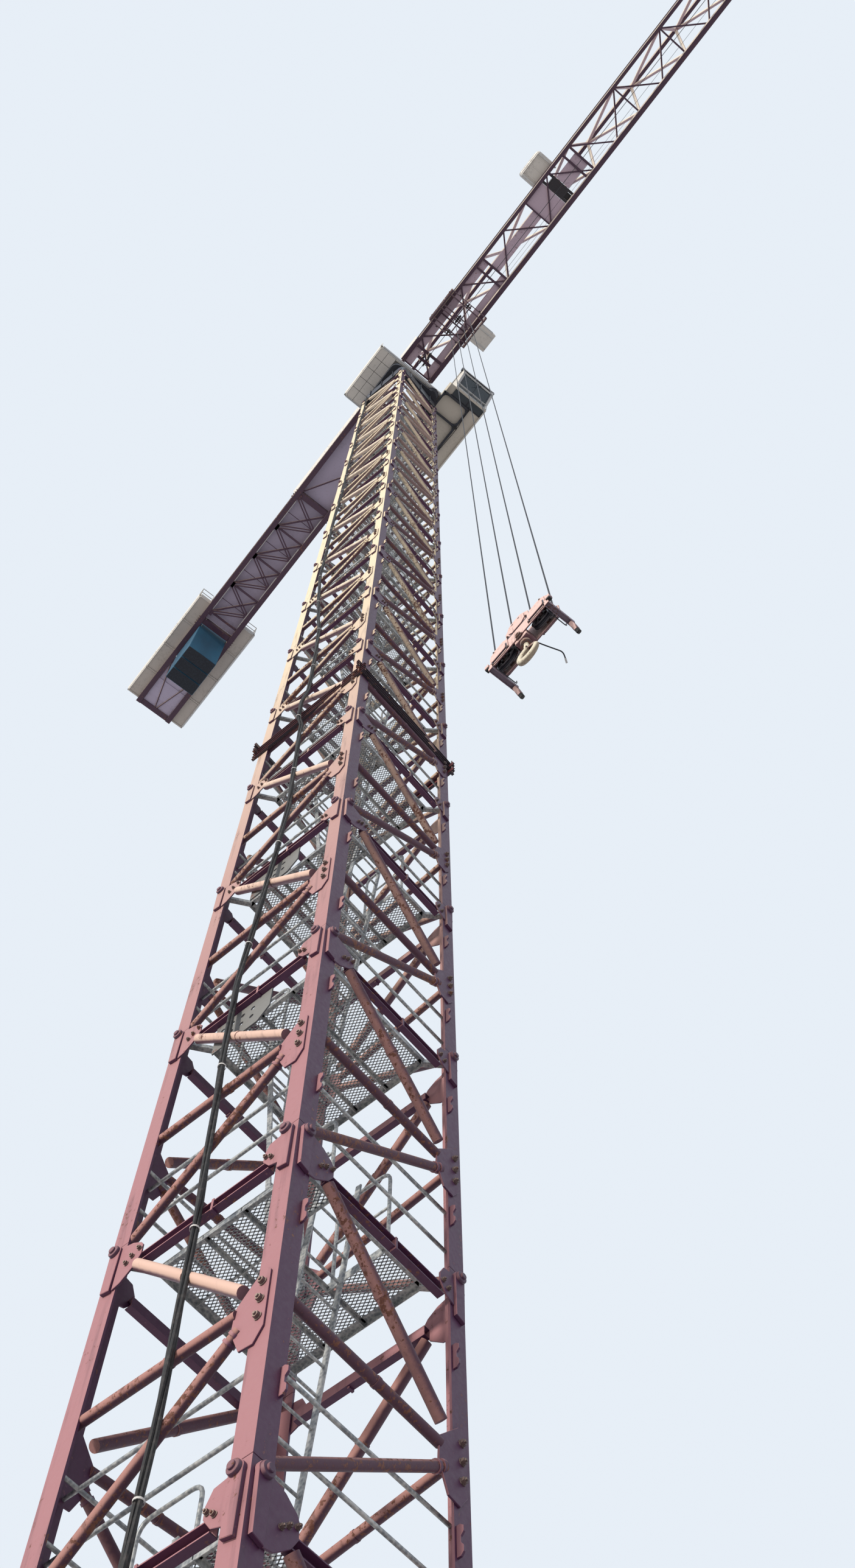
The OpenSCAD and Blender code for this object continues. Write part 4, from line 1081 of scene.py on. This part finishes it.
joint_cheek = plate([(-190, -62), (190, -62), (210, 0), (190, 62), (-190, 62), (-210, 0)], 16, 3)
top_cheek = plate([(-170, -90), (170, -90), (170, 60), (0, 110), (-170, 60)], 150, 6)
jib_joints = Kit()
for u in (station(1), station(3), station(6), station(9)):
    for du in (-400, 0):
        jib_joints.add(bar((u + du, -gauge_half, chord_z - 6), (u + du, gauge_half, chord_z - 6), 90, 100, 6))
    for v in (-gauge_half, gauge_half):
        jib_joints.add(joint_cheek, stood(u - 200, v - 68, chord_z), stood(u - 200, v + 84, chord_z))
        for du in (-300, -100):
            jib_joints.add(pin, stood(u + du, v, chord_z) @ Matrix.Scale(0.9, 4), finish=1)
    jib_joints.add(top_cheek, stood(u - 200, 75, top_z))
# Pale leaning strips along the lower chords and the top chord stand in for their sunlit sides: painted
# highlights.
for low_u, high_u, v, z, high in (
        (2120, tip_u - 100, -772, chord_z - 70, 54), (2120, tip_u - 100, 606, chord_z - 70, 54),
        (apex(-1), apex(bays - 1), -86, top_z - 46, 60)):
    lip(jib_joints, [(low_u, v, z), (high_u, v, z)], high, lean=48, finish=2)
jib_joints.piece("jib_joint_frames", "upperworks", "plum_paint", jib_dark, bolt_black, jib_tube)

# Jib walks
# Thin chequered plates lie on the bottom bars: one walk along each side of the root, then one along
# the middle. Each has an upturned edge and a life line.
walk_paint = painted("walk_plate", tone(178, 160, 174), tone(206, 184, 182), rust=0.1, dirt=0.3)
dress("jib_walkway", walk_paint)
walk_h = 60
line_z = walk_h + 1000
walks = Kit()
for s in both:
    walks.add(bar((root_u + 20, s * 325, walk_h + 26), (station(1), s * 325, walk_h + 26), 6, 60))
    walks.add(rod((root_u, s * 560, line_z), (station(4), s * 560, line_z), 7, 6), finish=1)
    for u in (station(0) + 200, station(1) + 200, station(2) + 200):
        walks.add(rod((u, s * 560, walk_h), (u, s * 560, line_z), thin_r, 8), finish=1)
    for u in range(1500, 6000, 900):
        walks.add(block((u - 3, s * 325, walk_h - 40), (u + 3, s * 625, walk_h - 28)))
for v in (-226, 186):
    walks.add(bar((station(1), v, walk_h + 26), (station(2), v, walk_h + 26), 6, 60))
# A pale leaning strip on brackets beside the root walk stands in for a sunlit band there: a painted
# highlight.
lit_strip_v = -gauge_half - 150
lip(walks, [(1030, lit_strip_v, 10), (2060, lit_strip_v, 10)], 170, finish=2)
for u in (1100, 1560, 2000):
    walks.add(bar((u, lit_strip_v, 60), (u, -gauge_half + 60, 60), 40, 10))
walks.piece("walk_edges", "upperworks", "plum_paint", walk_paint, zinc, white, place=on_chord)

# Trolley winch
# A grooved drum between side frames, on two beams across the jib, with its gearbox outside. The rope
# winds on it from both ends of the trolley's run.
dress("trolley_winch", machined)
winch_u = 10000
rope_steel = Finish("wire_rope_greased", Metallic=0.3)
lay_place = rope_steel.node("VectorMath", {"operation": "MULTIPLY"}, rope_steel.place, (220, 220, 60))
lay = rope_steel.node("TexWave", {"wave_type": "BANDS", "bands_direction": "DIAGONAL"}, lay_place, out=1,
                      Scale=1.0, Distortion=0.0)
rope_steel.feed("Base Color", rope_steel.mix(lay, tone(20, 22, 30), tone(58, 60, 68)))
rope_steel.feed("Roughness", 0.42 + 0.2 * lay)
rope_steel.bump(lay, 0.002, 0.6)


def wound_drum(radius, width, pitch):
    """The rope's turns on a drum, as a close row of half rounds."""
    profile = [(radius - 6, -width / 2)]
    for i in range(int(width / pitch)):
        start = -width / 2 + i * pitch
        profile += [(radius + pitch * out, start + pitch * share)
                    for out, share in ((0.1, 0.1), (0.42, 0.5), (0.1, 0.9))]
    return turned(profile + [(radius - 6, width / 2)], 36)


winding = Kit()
winding.add(wound_drum(152, 480, 24), stood(0, -50, 400))
for u, z in arc(0, 400, 60, 0, 300, 5):
    winding.add(bolt(26, 16), stood(u, -388, z), at(u, 361, z) @ turn(-90, "X"), finish=1)
winding.add(rod((0, 600, 380), (0, 690, 380), 96, 24), finish=1)
winding.add(block((-200, -380, 30), (200, 330, 46), 3), finish=1)
winding.piece("trolley_rope_drum", "upperworks", "wire_rope", rope_steel, machined,
              place=at(winch_u, 0, chord_z))

# Winch platform
# A white folded floor with rounded corners hangs outside the right chord, with grey cross plates under
# it and a rail on its three open sides.
platform_far = -755 - 740
corner_r = 120
standing = Kit()
standing.add(plate(arc(440, platform_far + corner_r, corner_r, -90, 0, 3) + [(560, -725), (-560, -725)]
                   + arc(-440, platform_far + corner_r, corner_r, 180, 270, 3), 50, 5), finish=1)
rim_line = bent([(550, -725, 60), (550, platform_far + 10, 60), (-550, platform_far + 10, 60),
                 (-550, -725, 60)], corner_r, 4)
lip(standing, [(p.x, p.y, 40) for p in reversed(rim_line)], 190)
for level in (0.5, 1.0):
    standing.add(pipe([p + Vector((0, 0, rail_h * level)) for p in rim_line], post_r, 10))
for u, v in ((-550, -760), (-550, -1320), (-400, -1485), (0, -1485), (400, -1485), (550, -1320), (550, -760)):
    standing.add(rod((u, v, 60), (u, v, 60 + rail_h), post_r, 10))
for u in (-370, 0, 370):
    standing.add(bar((u, -1460, -6), (u, -700, -6), 40, 14, 3), finish=1)
for u in (-500, 500):
    standing.add(bar((u, platform_far + 60, -30), (u, -560, -30), 70, 60, 5))
standing.piece("winch_standing_floor", "upperworks", "white_paint", white, underside_grey_and_painted_bounce,
               stands_for=["winch_platform"], place=at(winch_u, 0, chord_z + 120))

# Root sheaves
# Two grooved rope sheaves stand side by side between brackets on a cross beam, where the hoist rope
# turns into the jib.


def sheave(radius, width, bore=36):
    """A rope sheave about z: hub, web and grooved rim."""
    half = width / 2
    side = [(bore, half), (bore + 34, half), (bore + 40, half * 0.35), (radius * 0.78, half * 0.35),
            (radius * 0.84, half * 0.9), (radius, half * 0.9), (radius, half * 0.62)]
    return turned([(r, -h) for r, h in side] + [(radius - width * 0.3, 0)] + side[::-1] + [(bore, -half)], 40)


root_at = root_u + 500
axle_h = 420
root_kit = Kit()
for s in both:
    root_kit.add(sheave(240, 60), stood(0, s * 90, axle_h))
    root_kit.add(bolt(60, 26), at(0, s * 176, axle_h) @ turn(-90 * s, "X"), finish=1)
root_kit.add(rod((0, -190, axle_h), (0, 190, axle_h), 35, 20), finish=1)
root_kit.add(plate([(-120, 0), (120, 0), (110, 330), (60, 420), (-60, 420), (-110, 330)], 30, 4),
             stood(0, -140, walk_h), stood(0, 170, walk_h), finish=2)
root_kit.add(block((-60, -625, walk_h), (60, 625, walk_h + 60), 6), finish=2)
root_kit.piece("root_rope_sheaves", "upperworks", "bare_steel", machined, bolt_black, jib_dark,
               stands_for=["root_sheaves"], place=at(root_at, 0, chord_z))

# Counter-jib
# Two deep main beams run back from the head, with cross beams and light bracing between them under a
# plate floor. Flanges and stiffeners are welded to the beams.
counter_half = 790
counter_l = 17900
counter_root = -1000
beam_h = 210
slab_first = 4570 - counter_l
side_out = 880 + 580
side_front = slab_first + 1080
side_rear = 100 - counter_l
dress("counter_jib_beams", jib_dark)
floor_under = painted("counter_floor_plate", tone(170, 162, 184), tone(206, 188, 186), dirt=0.25)
dress("counter_jib_deck", floor_under)
splice = plate([(-260, -150), (260, -150), (260, 150), (-260, 150)], 14, 2)
flanges = Kit()
for s in both:
    v = s * counter_half
    for z in (-beam_h - 8, beam_h + 8):
        flanges.add(bar((-counter_l, v, z), (counter_root, v, z), 220, 16, 2))
    for i in range(22):
        u = -1400 - i * 760
        for away in both:
            flanges.add(block((u - 6, v + away * 90, -beam_h), (u + 6, v + away * 106, beam_h)))
    for u in (-6150, slab_first + 130):
        flanges.add(splice, stood(u, v + 7 + s * 97, 0))
        for i in range(4):
            for z in (-80, 80):
                flanges.add(stud, at(u - 180 + 120 * i, v + s * 104, z) @ turn(-90 * s, "X"), finish=1)
    flanges.add(rod((-counter_l + 200, s * 30, -140), (slab_first - 2200, s * 660, -140), 26, 10))
brace_first = -round(0.3436 * counter_l)
brace_pitch = (brace_first - slab_first - 780) / 4
for k in range(4):
    near = brace_first - k * brace_pitch
    middle, far = near - brace_pitch / 2, near - brace_pitch
    for u in (middle, far):
        flanges.add(rod((u, -690, -92), (u, 690, -92), 15, 8))
    for edge in (-62, 62):
        for start, s in ((near, -1), (middle, 1)):
            flanges.add(bar((start + edge, s * 700, -180), (start + edge - brace_pitch / 2, -s * 700, -180),
                            54, 30, 2))
    for u, s in ((near, -1), (far, -1), (middle, 1)):
        flanges.add(block((u - 130, s * 706, -202), (u + 130, s * 560, -194)))
    # White strips along the inner sides of the beams stand in for their sunlit edges: painted highlights.
    for s in both:
        flanges.add(bar((far + 180, s * 668, -200), (near - 200, s * 668, -200), 34, 20, 3), finish=2)
# White leaning strips along the left beam's outside and by the slabs stand in for sunlit bands: painted
# highlights.
outer_v = -counter_half - 158
inner_v = -counter_half + 176
lip(flanges, [(brace_first, outer_v, 0), (-1180, outer_v, 0)], 200, finish=2)
lip(flanges, [(side_rear + 3300, inner_v, -150), (slab_first + 420, inner_v, -150)], 26, finish=2)
flanges.piece("counter_beam_flanges", "upperworks", "plum_paint", jib_dark, bolt_black, white,
              place=on_chord)
end_floor = Kit()
end_floor.add(block((-counter_l + 236, -698, -97), (slab_first - 2176, 698, -91), 1))
end_floor.add(block((slab_first + 372, -698, beam_h - 58), (slab_first + 440, 698, beam_h - 52), 1))
for v in (-640, 640):
    end_floor.add(bar((-counter_l + 240, v, -104), (slab_first - 2180, v, -104), 40, 12))
end_floor.piece("counter_end_floor", "upperworks", "plum_paint", floor_under, place=on_chord)

counter_rail = Kit()
for v in (-counter_half, counter_half):
    railing(counter_rail, (slab_first + 1330, v, beam_h + 16), (counter_root - 300, v, beam_h + 16), 8)
counter_rail.piece("counter_tube_rails", "upperworks", "white_paint", white,
                   stands_for=["counter_jib_rails"], place=on_chord)

walk_grey = painted("side_floor_sheet", tone(176, 170, 163), tone(206, 200, 188), dirt=0.3)
panel_count = 4
panel_l = (side_front - side_rear) / panel_count
sides = Kit()
for s in both:
    for i in range(panel_count):
        u = side_rear + panel_l * i
        sides.add(block((u + 6, s * 884, -46), (u + panel_l - 6, s * side_out, 0), 5), finish=1)
        sides.add(bar((u + 60, s * 870, -60), (u + 60, s * (side_out - 20), -60), 50, 50, 4), finish=1)
    rim_run = [(side_rear, s * 890, 0), (side_rear, s * (side_out - 70), 0),
               (side_rear + 70, s * side_out, 0), (side_front - 70, s * side_out, 0),
               (side_front, s * (side_out - 70), 0), (side_front, s * 890, 0)]
    lip(sides, rim_run if s < 0 else rim_run[::-1], 190)
    rear, front, rail_v = side_rear + 20, side_front - 20, s * (side_out - 20)
    for u in (rear, front):
        railing(sides, (u, s * 900, 0), (u, rail_v, 0), 1, toe=False)
    railing(sides, (rear, rail_v, 0), (front, rail_v, 0), 5, toe=False)
sides.piece("side_floors", "upperworks", "galvanised_steel", white, walk_grey,
            stands_for=["side_platforms"], place=on_chord)

# Counterweights
# Cast concrete slabs, painted teal, hang in a row between the beams by lugs that rest on them. Their
# edges are chamfered and each has two lifting eyes.
slab_t, slab_gap, slabs, slab_drop = 570, 15, 3, 3300
slab_top = beam_h + 240
concrete = Finish("teal_concrete_paint")
pits = concrete.noise(30, 5, rough=0.7)
wash = concrete.noise(1.6, 3, stretch=(1, 1, 0.3))
teal = concrete.mix(wash.step(0.3, 0.75), tone(8, 62, 86), tone(18, 86, 114))
teal = concrete.mix(pits.step(0.62, 0.70) * 0.3, teal, tone(96, 106, 108))
# Faces that look down turn dark blue-grey: painted shade under the slabs.
underside_painted_shade = concrete.towards((0, 0, -1)).step(0.5, 0.9)
teal = concrete.mix(underside_painted_shade, teal, concrete.mix(pits.step(0.4, 0.7), tone(16, 24, 34), tone(34, 42, 54)))
concrete.feed("Base Color", teal)
concrete.feed("Roughness", 0.75 + 0.2 * (pits - 0.5))
concrete.bump(pits, 0.003, 0.7)
slab_half = counter_half - 90 - 20
weights = Kit()
for k in range(slabs):
    u = slab_first - slab_t - k * (slab_t + slab_gap)
    weights.add(block((u, -slab_half, -slab_drop), (u + slab_t, slab_half, slab_top), 22))
    low_u, high_u = u + slab_t / 2 - 70, u + slab_t / 2 + 70
    for s in both:
        weights.add(block((u + 60, s * (slab_half - 10), beam_h + 18),
                          (u + slab_t - 60, s * (counter_half + 60), slab_top), 14))
        lug_eye = [(low_u, s * 400, slab_top - 20), (low_u, s * 400, slab_top + 100),
                   (high_u, s * 400, slab_top + 100), (high_u, s * 400, slab_top - 20)]
        weights.add(pipe(bent(lug_eye, 60), 16, 8), finish=1)
weights.piece("teal_slabs", "upperworks", "teal_concrete", concrete, bolt_black,
              stands_for=["counterweights"], place=on_chord)

# Hoist winch
# The hoist drum turns between its gearbox and an end bearing, on a bed on the plate floor. The finned
# motor lies behind it, and the rope is wound in close turns.
winch_grey = painted("winch_grey_paint", tone(78, 84, 88), tone(142, 146, 146), rust=0.1, roughness=0.4)
dress("hoist_winch", winch_grey)
hoist_u = slab_first + 3730
drum_h = 760
motor_u, motor_h = -520, beam_h + 370
hoist = Kit()
hoist.add(wound_drum(282, 730, 26), stood(0, 0, drum_h))
for v in range(-250, 254, 28):
    hoist.add(rod((motor_u, v, motor_h), (motor_u, v + 10, motor_h), 196, 24), finish=1)
hoist.add(rod((motor_u, 300, motor_h), (motor_u, 380, motor_h), 150, 24, 120), finish=1)
for u, z in arc(0, drum_h, 170, 0, 315, 7):
    hoist.add(stud, stood(u, -600, z), finish=2)
for u, z in arc(0, drum_h, 230, 0, 315, 7):
    hoist.add(stud, at(u, 470, z) @ turn(-90, "X"), finish=2)
hoist.piece("hoist_rope_drum", "upperworks", "grey_paint", rope_steel, winch_grey, bolt_black,
            place=at(hoist_u, 0, chord_z))

# Trolley
# Two side plates joined by cross members hang outside the lower chords on four small flanged wheels.
# Three rope sheaves stand in line between them, and a fitter's basket hangs on the left.
trolley_u = 3700
trolley_drop = 640
trolley_z = chord_z - trolley_drop
trolley_end = 750
trolley_out = 870
axle_up = 80
on_trolley = at(trolley_u, 0, trolley_z)
trolley_paint = painted("trolley_paint", tone(84, 64, 76), tone(222, 198, 182), rust=0.12)
dress("trolley_frame", trolley_paint)
carriage = Kit()
for s in both:
    for z in (16, trolley_drop + 58):
        carriage.add(bar((-trolley_end, s * (trolley_out + 16), z), (trolley_end, s * (trolley_out + 16), z),
                         32, 18, 3))
    for u in (-740, -250, 250, 740):
        carriage.add(bar((u, s * (trolley_out + 14), 10), (u, s * (trolley_out + 14), trolley_drop + 60),
                         28, 14, 2))
    for u in (-570, 570):
        carriage.add(bolt(70, 30), at(u, s * trolley_out, trolley_drop + 31) @ turn(-90 * s, "X"), finish=1)
    for u in (-trolley_end - 20, trolley_end + 20):
        carriage.add(rod((u - 20, s * 500, axle_up), (u + 20, s * 500, axle_up), 46, 16, 40), finish=2)
    for u in (-630, 0, 630):
        carriage.add(plate([(-90, 0), (90, 0), (60, 150), (-60, 150)], 14, 2), stood(u, s * 120 + 7, 4))
        carriage.add(bolt(62, 24), at(u, s * 120, axle_up) @ turn(-90 * s, "X"), finish=1)
for u in (-560, -80, 80, 560):
    carriage.add(bar((u, -838, 30), (u, 838, 30), 50, 50, 4))
carriage.piece("trolley_fittings", "trolley", "plum_paint", trolley_paint, bolt_black, rubber,
               place=on_trolley)

rope_r = 11
fall_gap = 350
fall_turn = fall_gap / 2
end_turn = 101.6
end_sheave_u = 1.5 * fall_gap + end_turn


def rope_arc(centre_u, centre_z, radius, first, last, v=0):
    """Rope bent round a sheave, from one angle to another."""
    return pipe([(u, v, z) for u, z in arc(centre_u, centre_z, radius, first, last, 14)], rope_r, 8)


trolley_rollers = Kit()
trolley_rollers.add(sheave(184, 76), stood(0, 0, axle_up))
trolley_rollers.add(rope_arc(0, axle_up, fall_turn, 0, 180), finish=1)
for s in both:
    trolley_rollers.add(sheave(111, 70), stood(s * end_sheave_u, 0, axle_up))
    trolley_rollers.add(rope_arc(s * end_sheave_u, axle_up, end_turn, 90, 90 + 90 * s), finish=1)
for u in (-end_sheave_u, 0, end_sheave_u):
    trolley_rollers.add(rod((u, -80, axle_up), (u, 80, axle_up), 30, 20), finish=2)
trolley_rollers.piece("trolley_rope_sheaves", "trolley", "bare_steel", machined, rope_steel, bolt_black,
                      stands_for=["trolley_sheaves"], place=on_trolley)

wheel = turned([(25, 0), (65, 0), (65, 26), (72, 29), (72, 38), (60, 40), (44, 32), (30, 32), (28, 44),
                (0, 44)], 32)
wheel_z = trolley_drop - 34.4 + 65
wheels = Kit()
for su, s in corners:
    wheels.add(wheel, at(su * 570, s * 767, wheel_z) @ turn(-90 * s, "X"))
    wheels.add(rod((su * 570, s * 800, wheel_z), (su * 570, s * 842, wheel_z), 25, 16), finish=1)
wheels.piece("trolley_flanged_wheels", "trolley", "bare_steel", machined, bolt_black,
             stands_for=["trolley_wheels"], place=on_trolley)

basket = Kit()
basket.add(block((-350, 4, 0), (450, 716, 40), 8), finish=1)
for v in (10, 706):
    basket.add(bar((-350, v, 70), (450, v, 70), 8, 130, 3))
for u in (-346, 446):
    basket.add(bar((u, 10, 70), (u, 706, 70), 8, 130, 3))
for u in (-330, 50, 430):
    for v in (30, 690):
        basket.add(rod((u, v, 20), (u, v, 1060), post_r, 10))
for z in (560, 1060):
    basket.add(pipe(bent([(-330, 30, z), (-330, 690, z), (430, 690, z), (430, 30, z)], 90), post_r, 10))
    basket.add(rod((-330, 30, z), (430, 30, z), post_r, 10))
for u in (-200, 300):
    basket.add(bar((u, -4, 60), (u, 10, 620), 70, 12, 2))
    basket.add(bar((u, 4, -14), (u, 700, -14), 44, 26, 3))
basket.piece("fitters_basket", "trolley", "white_paint", white, underside_grey_and_painted_bounce, stands_for=["service_basket"],
             place=on_trolley @ at(0, trolley_out, -200))

# Hoist ropes
# One wire rope leaves the jib by a guide sheave at its root, runs to the trolley, makes four falls round
# the sheaves of the hook block, and is made fast at the tip. Every stretch of it is taut.
run_z = axle_up + end_turn
guide_r = 120
guide_z = run_z + guide_r
root_r = 233
guide_u = root_at + root_r + guide_r
root_z = trolley_drop + axle_h
end_u = tip_u + 900
guide = Kit()
guide.add(sheave(guide_r + 9, 54), stood(guide_u, 0, guide_z))
guide.add(rod((guide_u, -60, guide_z), (guide_u, 60, guide_z), 24, 16), finish=1)
guide.add(plate([(-70, -60), (70, -60), (90, 350), (-90, 350)], 14, 3),
          stood(guide_u, -44, guide_z), stood(guide_u, 58, guide_z), finish=2)
guide.add(block((guide_u - 60, -628, trolley_drop - 104), (guide_u + 60, 628, trolley_drop - 34), 5),
          finish=2)
guide.add(rope_arc(guide_u, guide_z, guide_r, 180, 270), finish=3)
guide.add(rod((guide_u - guide_r, 90, root_z), (guide_u - guide_r, 0, guide_z), rope_r, 8), finish=3)
guide.add(rope_arc(root_at, root_z, root_r, 0, 100, v=90), finish=3)
guide.add(rod((root_at - 40, 90, root_z + 229), (hoist_u + 60, 80, trolley_drop + drum_h + 288), rope_r, 8),
          finish=3)
guide.add(plate([(-50, -40), (50, -40), (70, 400), (-70, 400)], 14, 3),
          stood(end_u - 60, -46, run_z), stood(end_u - 60, 60, run_z), finish=2)
guide.add(rod((end_u - 60, -70, run_z), (end_u - 60, 70, run_z), 22, 16), finish=1)
guide.add(rod((end_u - 330, 0, run_z), (end_u - 90, 0, run_z), 26, 14, 34), finish=1)
guide.piece("hoist_rope_guides", "upperworks", "bare_steel", machined, bolt_black, jib_dark, rope_steel,
            place=at(0, 0, trolley_z))
for label, fixed_u, moving_u, v, z, radius in (
        ("root", guide_u, trolley_u - end_sheave_u, 0, run_z, rope_r),
        ("tip", end_u - 200, trolley_u + end_sheave_u, 0, run_z, rope_r),
        ("haul_root", guide_u + 50, trolley_u - trolley_end, 300, 110, 6),
        ("haul_tip", end_u - 80, trolley_u + trolley_end, 300, 110, 6)):
    fixed, moving = [Vector((u, v, trolley_z + z)) for u in (fixed_u, moving_u)]
    run = Kit()
    run.add(rod(fixed, moving, radius, 8))
    line = run.piece("rope_run_" + label, None, "wire_rope", rope_steel)
    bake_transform(line)

block_z = 19750
block_axle = block_z + 130
trolley_axle = trolley_z + axle_up
falls = Kit()
for i in range(4):
    u = trolley_u + (i - 1.5) * fall_gap
    falls.add(rod((u, 0, block_axle), (u, 0, trolley_axle), rope_r, 12))
falls_piece = falls.piece("wire_rope_falls", None, "wire_rope", rope_steel, stands_for=["hoist_falls"])
trolley_axle / 2000 - 0.0005
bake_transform(falls_piece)

# Hook block
# Two cheek plates with bolted covers hold the two sheaves, and a taller centre block carries the hook.
# A bent leg with a rubber foot stands at each end.
block_half = 540
on_block = at(trolley_u, 0, block_z)
cheek_line = [(-block_half, 60), (-block_half + 70, -20), (block_half - 70, -20), (block_half, 60),
              (block_half, 330), (block_half - 90, 440), (290, 420), (215, 330), (215, 560), (120, 700),
              (-120, 700), (-215, 560), (-215, 330), (-290, 420), (90 - block_half, 440), (-block_half, 330)]
cover_line = [(-160, -90), (-110, -150), (110, -150), (160, -90), (160, 190), (90, 268), (-90, 268),
              (-160, 190)]
centre_line = [(-150, -90), (-90, -170), (90, -170), (150, -90), (150, 90), (90, 170), (-90, 170), (-150, 90)]
block_paint = painted("hook_block_paint", tone(104, 70, 78), tone(234, 198, 186), rust=0.05, dirt=0.35,
                      scale=2.2)
block_grey = painted("hook_block_legs", tone(122, 108, 122), tone(160, 148, 152), rust=0.2, dirt=0.5, scale=2)


def rounded(half_u, half_z, corner):
    """The outline of a rounded rectangle."""
    line = []
    for su, sz, first in ((1, 1, 0), (-1, 1, 90), (-1, -1, 180), (1, -1, 270)):
        line += arc(su * (half_u - corner), sz * (half_z - corner), corner, first, first + 90, 3)
    return line


housing = Kit()
for s, cheek_v, cover_v, seam_v, panel_v, slot_v, centre_v in ((-1, -90, -110, -124, -130, -124, -110),
                                                               (1, 110, 124, 128, 134, 126, 128)):
    outward = turn(-90 * s, "X")
    housing.add(plate(cheek_line, 20, 4), stood(0, cheek_v, 0))
    for u in (-350, 350):
        housing.add(plate(cover_line, 14, 4), stood(u, cover_v, 140))
        housing.add(plate(rounded(146, 112, 34), 4), stood(u, seam_v, 116), finish=1)
        housing.add(plate(rounded(132, 98, 28), 16, 4), stood(u, panel_v, 116))
        housing.add(plate(rounded(20, 9, 7), 2), *(stood(u + du, slot_v, 300) for du in (-64, 0, 64)),
                    finish=1)
    housing.add(plate(centre_line, 18, 5), stood(0, centre_v, 500))
    # A black strip under the centre block's cover is painted shade in the gap there.
    housing.add(block((-226, s * 108, 316), (226, s * 112, 352)), finish=1)
    for u in (-60, 60):
        housing.add(rod((u, s * 129, 590), (u, s * 131, 590), 17, 14), finish=1)
    housing.add(bolt(96, 26), at(0, s * 110, -16) @ outward, finish=2)
    for u in (-500, -200, 200, 500):
        housing.add(bolt(34, 16), at(u, s * 110, 30) @ outward, at(u * 0.88, s * 110, 372) @ outward,
                    finish=2)
for s in both:
    leg_u = s * 530
    housing.add(block((s * 510 - 12, -92, 30), (s * 510 + 12, 92, 210), 3))
    housing.add(block((s * 195 - 12, -92, 300), (s * 195 + 12, 92, 540), 3))
    housing.add(block((leg_u - 38, -128, -44), (leg_u + 38, 300, -30), 3), finish=3)
    for flange in (-36, 30):
        housing.add(block((leg_u + flange, -120, -96), (leg_u + flange + 7, 296, -34), 2), finish=3)
    housing.add(block((leg_u - 36, -130, -92), (leg_u + 36, -118, 70), 3))
    housing.add(bar((leg_u, 262, -60), (leg_u, 352, -190), 62, 62, 10))
    housing.add(bar((leg_u, 340, -172), (leg_u, 384, -236), 58, 58, 12), finish=4)
    housing.add(block((s * 540, -150, 24), (s * 612, -84, 104), 6))
    housing.add(block((s * 548, -146, -16), (s * 606, -90, 22), 5), finish=4)
    loop_u = s * 470
    loop = [(loop_u, -60, -20), (loop_u, -60, -96), (loop_u, 250, -96), (loop_u, 250, 20)]
    housing.add(pipe(bent(loop, 60), 7, 8), finish=1)
    housing.add(rod((s * 350, -112, 130), (s * 350, 112, 130), 34, 20), finish=2)
housing.add(block((-110, -91, -90), (110, 91, 60), 10))
housing.add(pipe(bent([(60, 96, 20), (110, 240, 0), (190, 430, -60), (150, 500, -90)], 50), 9, 8), finish=1)
housing.add(rod((152, 496, -88), (118, 548, -110), 13, 10), finish=5)
housing.piece("block_housing", "hook_block", "plum_paint", block_paint, black, bolt_black, block_grey, rubber,
              white, stands_for=["block_frame"], place=on_block)

block_rollers = Kit()
for u in (-fall_gap, fall_gap):
    block_rollers.add(sheave(186, 76), stood(u, 0, 130))
    block_rollers.add(rope_arc(u, 130, fall_turn, 180, 360), finish=1)
block_rollers.piece("block_rope_sheaves", "hook_block", "bare_steel", machined, rope_steel,
                    stands_for=["block_sheaves"], place=on_block)

# Hook
# A forged hook, painted white and worn, turns on its nut in the block. A sprung latch closes its mouth.
hook_white = painted("hook_paint_worn", tone(150, 138, 118), tone(230, 222, 196), rust=0.3, dirt=0.5, scale=3)
hook_line = [(0, -60), (0, -200), (0, -300)] + arc(0, -500, 150, 96, 366, 18)
hook_wide = [35, 35, 44] + [35 + 9 * math.sin(math.pi * min(1, step / 17)) for step in range(19)]
hook_wide[-1] -= 17
hook_kit = Kit()
hook_kit.add(pipe([(u, 0, z) for u, z in hook_line], 1, 16, hook_wide))
hook_kit.add(rod((0, 0, -60), (0, 0, 66), 35, 24), finish=1)
hook_kit.add(bolt(118, 56, washer=False), at(0, 0, 61), finish=1)
hook_kit.add(turned([(36, -170), (70, -170), (76, -164), (76, -112), (70, -106), (36, -106), (36, -170)], 28),
             finish=1)
for v in (-23, 23):
    hook_kit.add(bar((26, v, -392), (140, v, -478), 6, 44, 2), finish=1)
hook_kit.add(bar((30, 0, -380), (146, 0, -466), 50, 6, 2), finish=1)
hook_kit.add(rod((24, -50, -388), (24, 50, -388), 9, 10), finish=1)
hook_kit.piece("forged_hook", "hook", "white_paint", hook_white, bolt_black, stands_for=["hook"],
               place=on_block)

# Studio floor
# A plain pale floor. It is darker to the light it returns than to the camera.
ground = Finish("studio_floor", Roughness=0.9)
ground_path = ground.node("LightPath", out=0)
ground.feed("Base Color", ground.mix(ground_path, tone(228, 223, 214), tone(226, 228, 230)))
bpy.ops.mesh.primitive_plane_add(size=400)
studio = bpy.context.object
studio.name = "studio_floor"
studio.data.materials.append(ground.material)
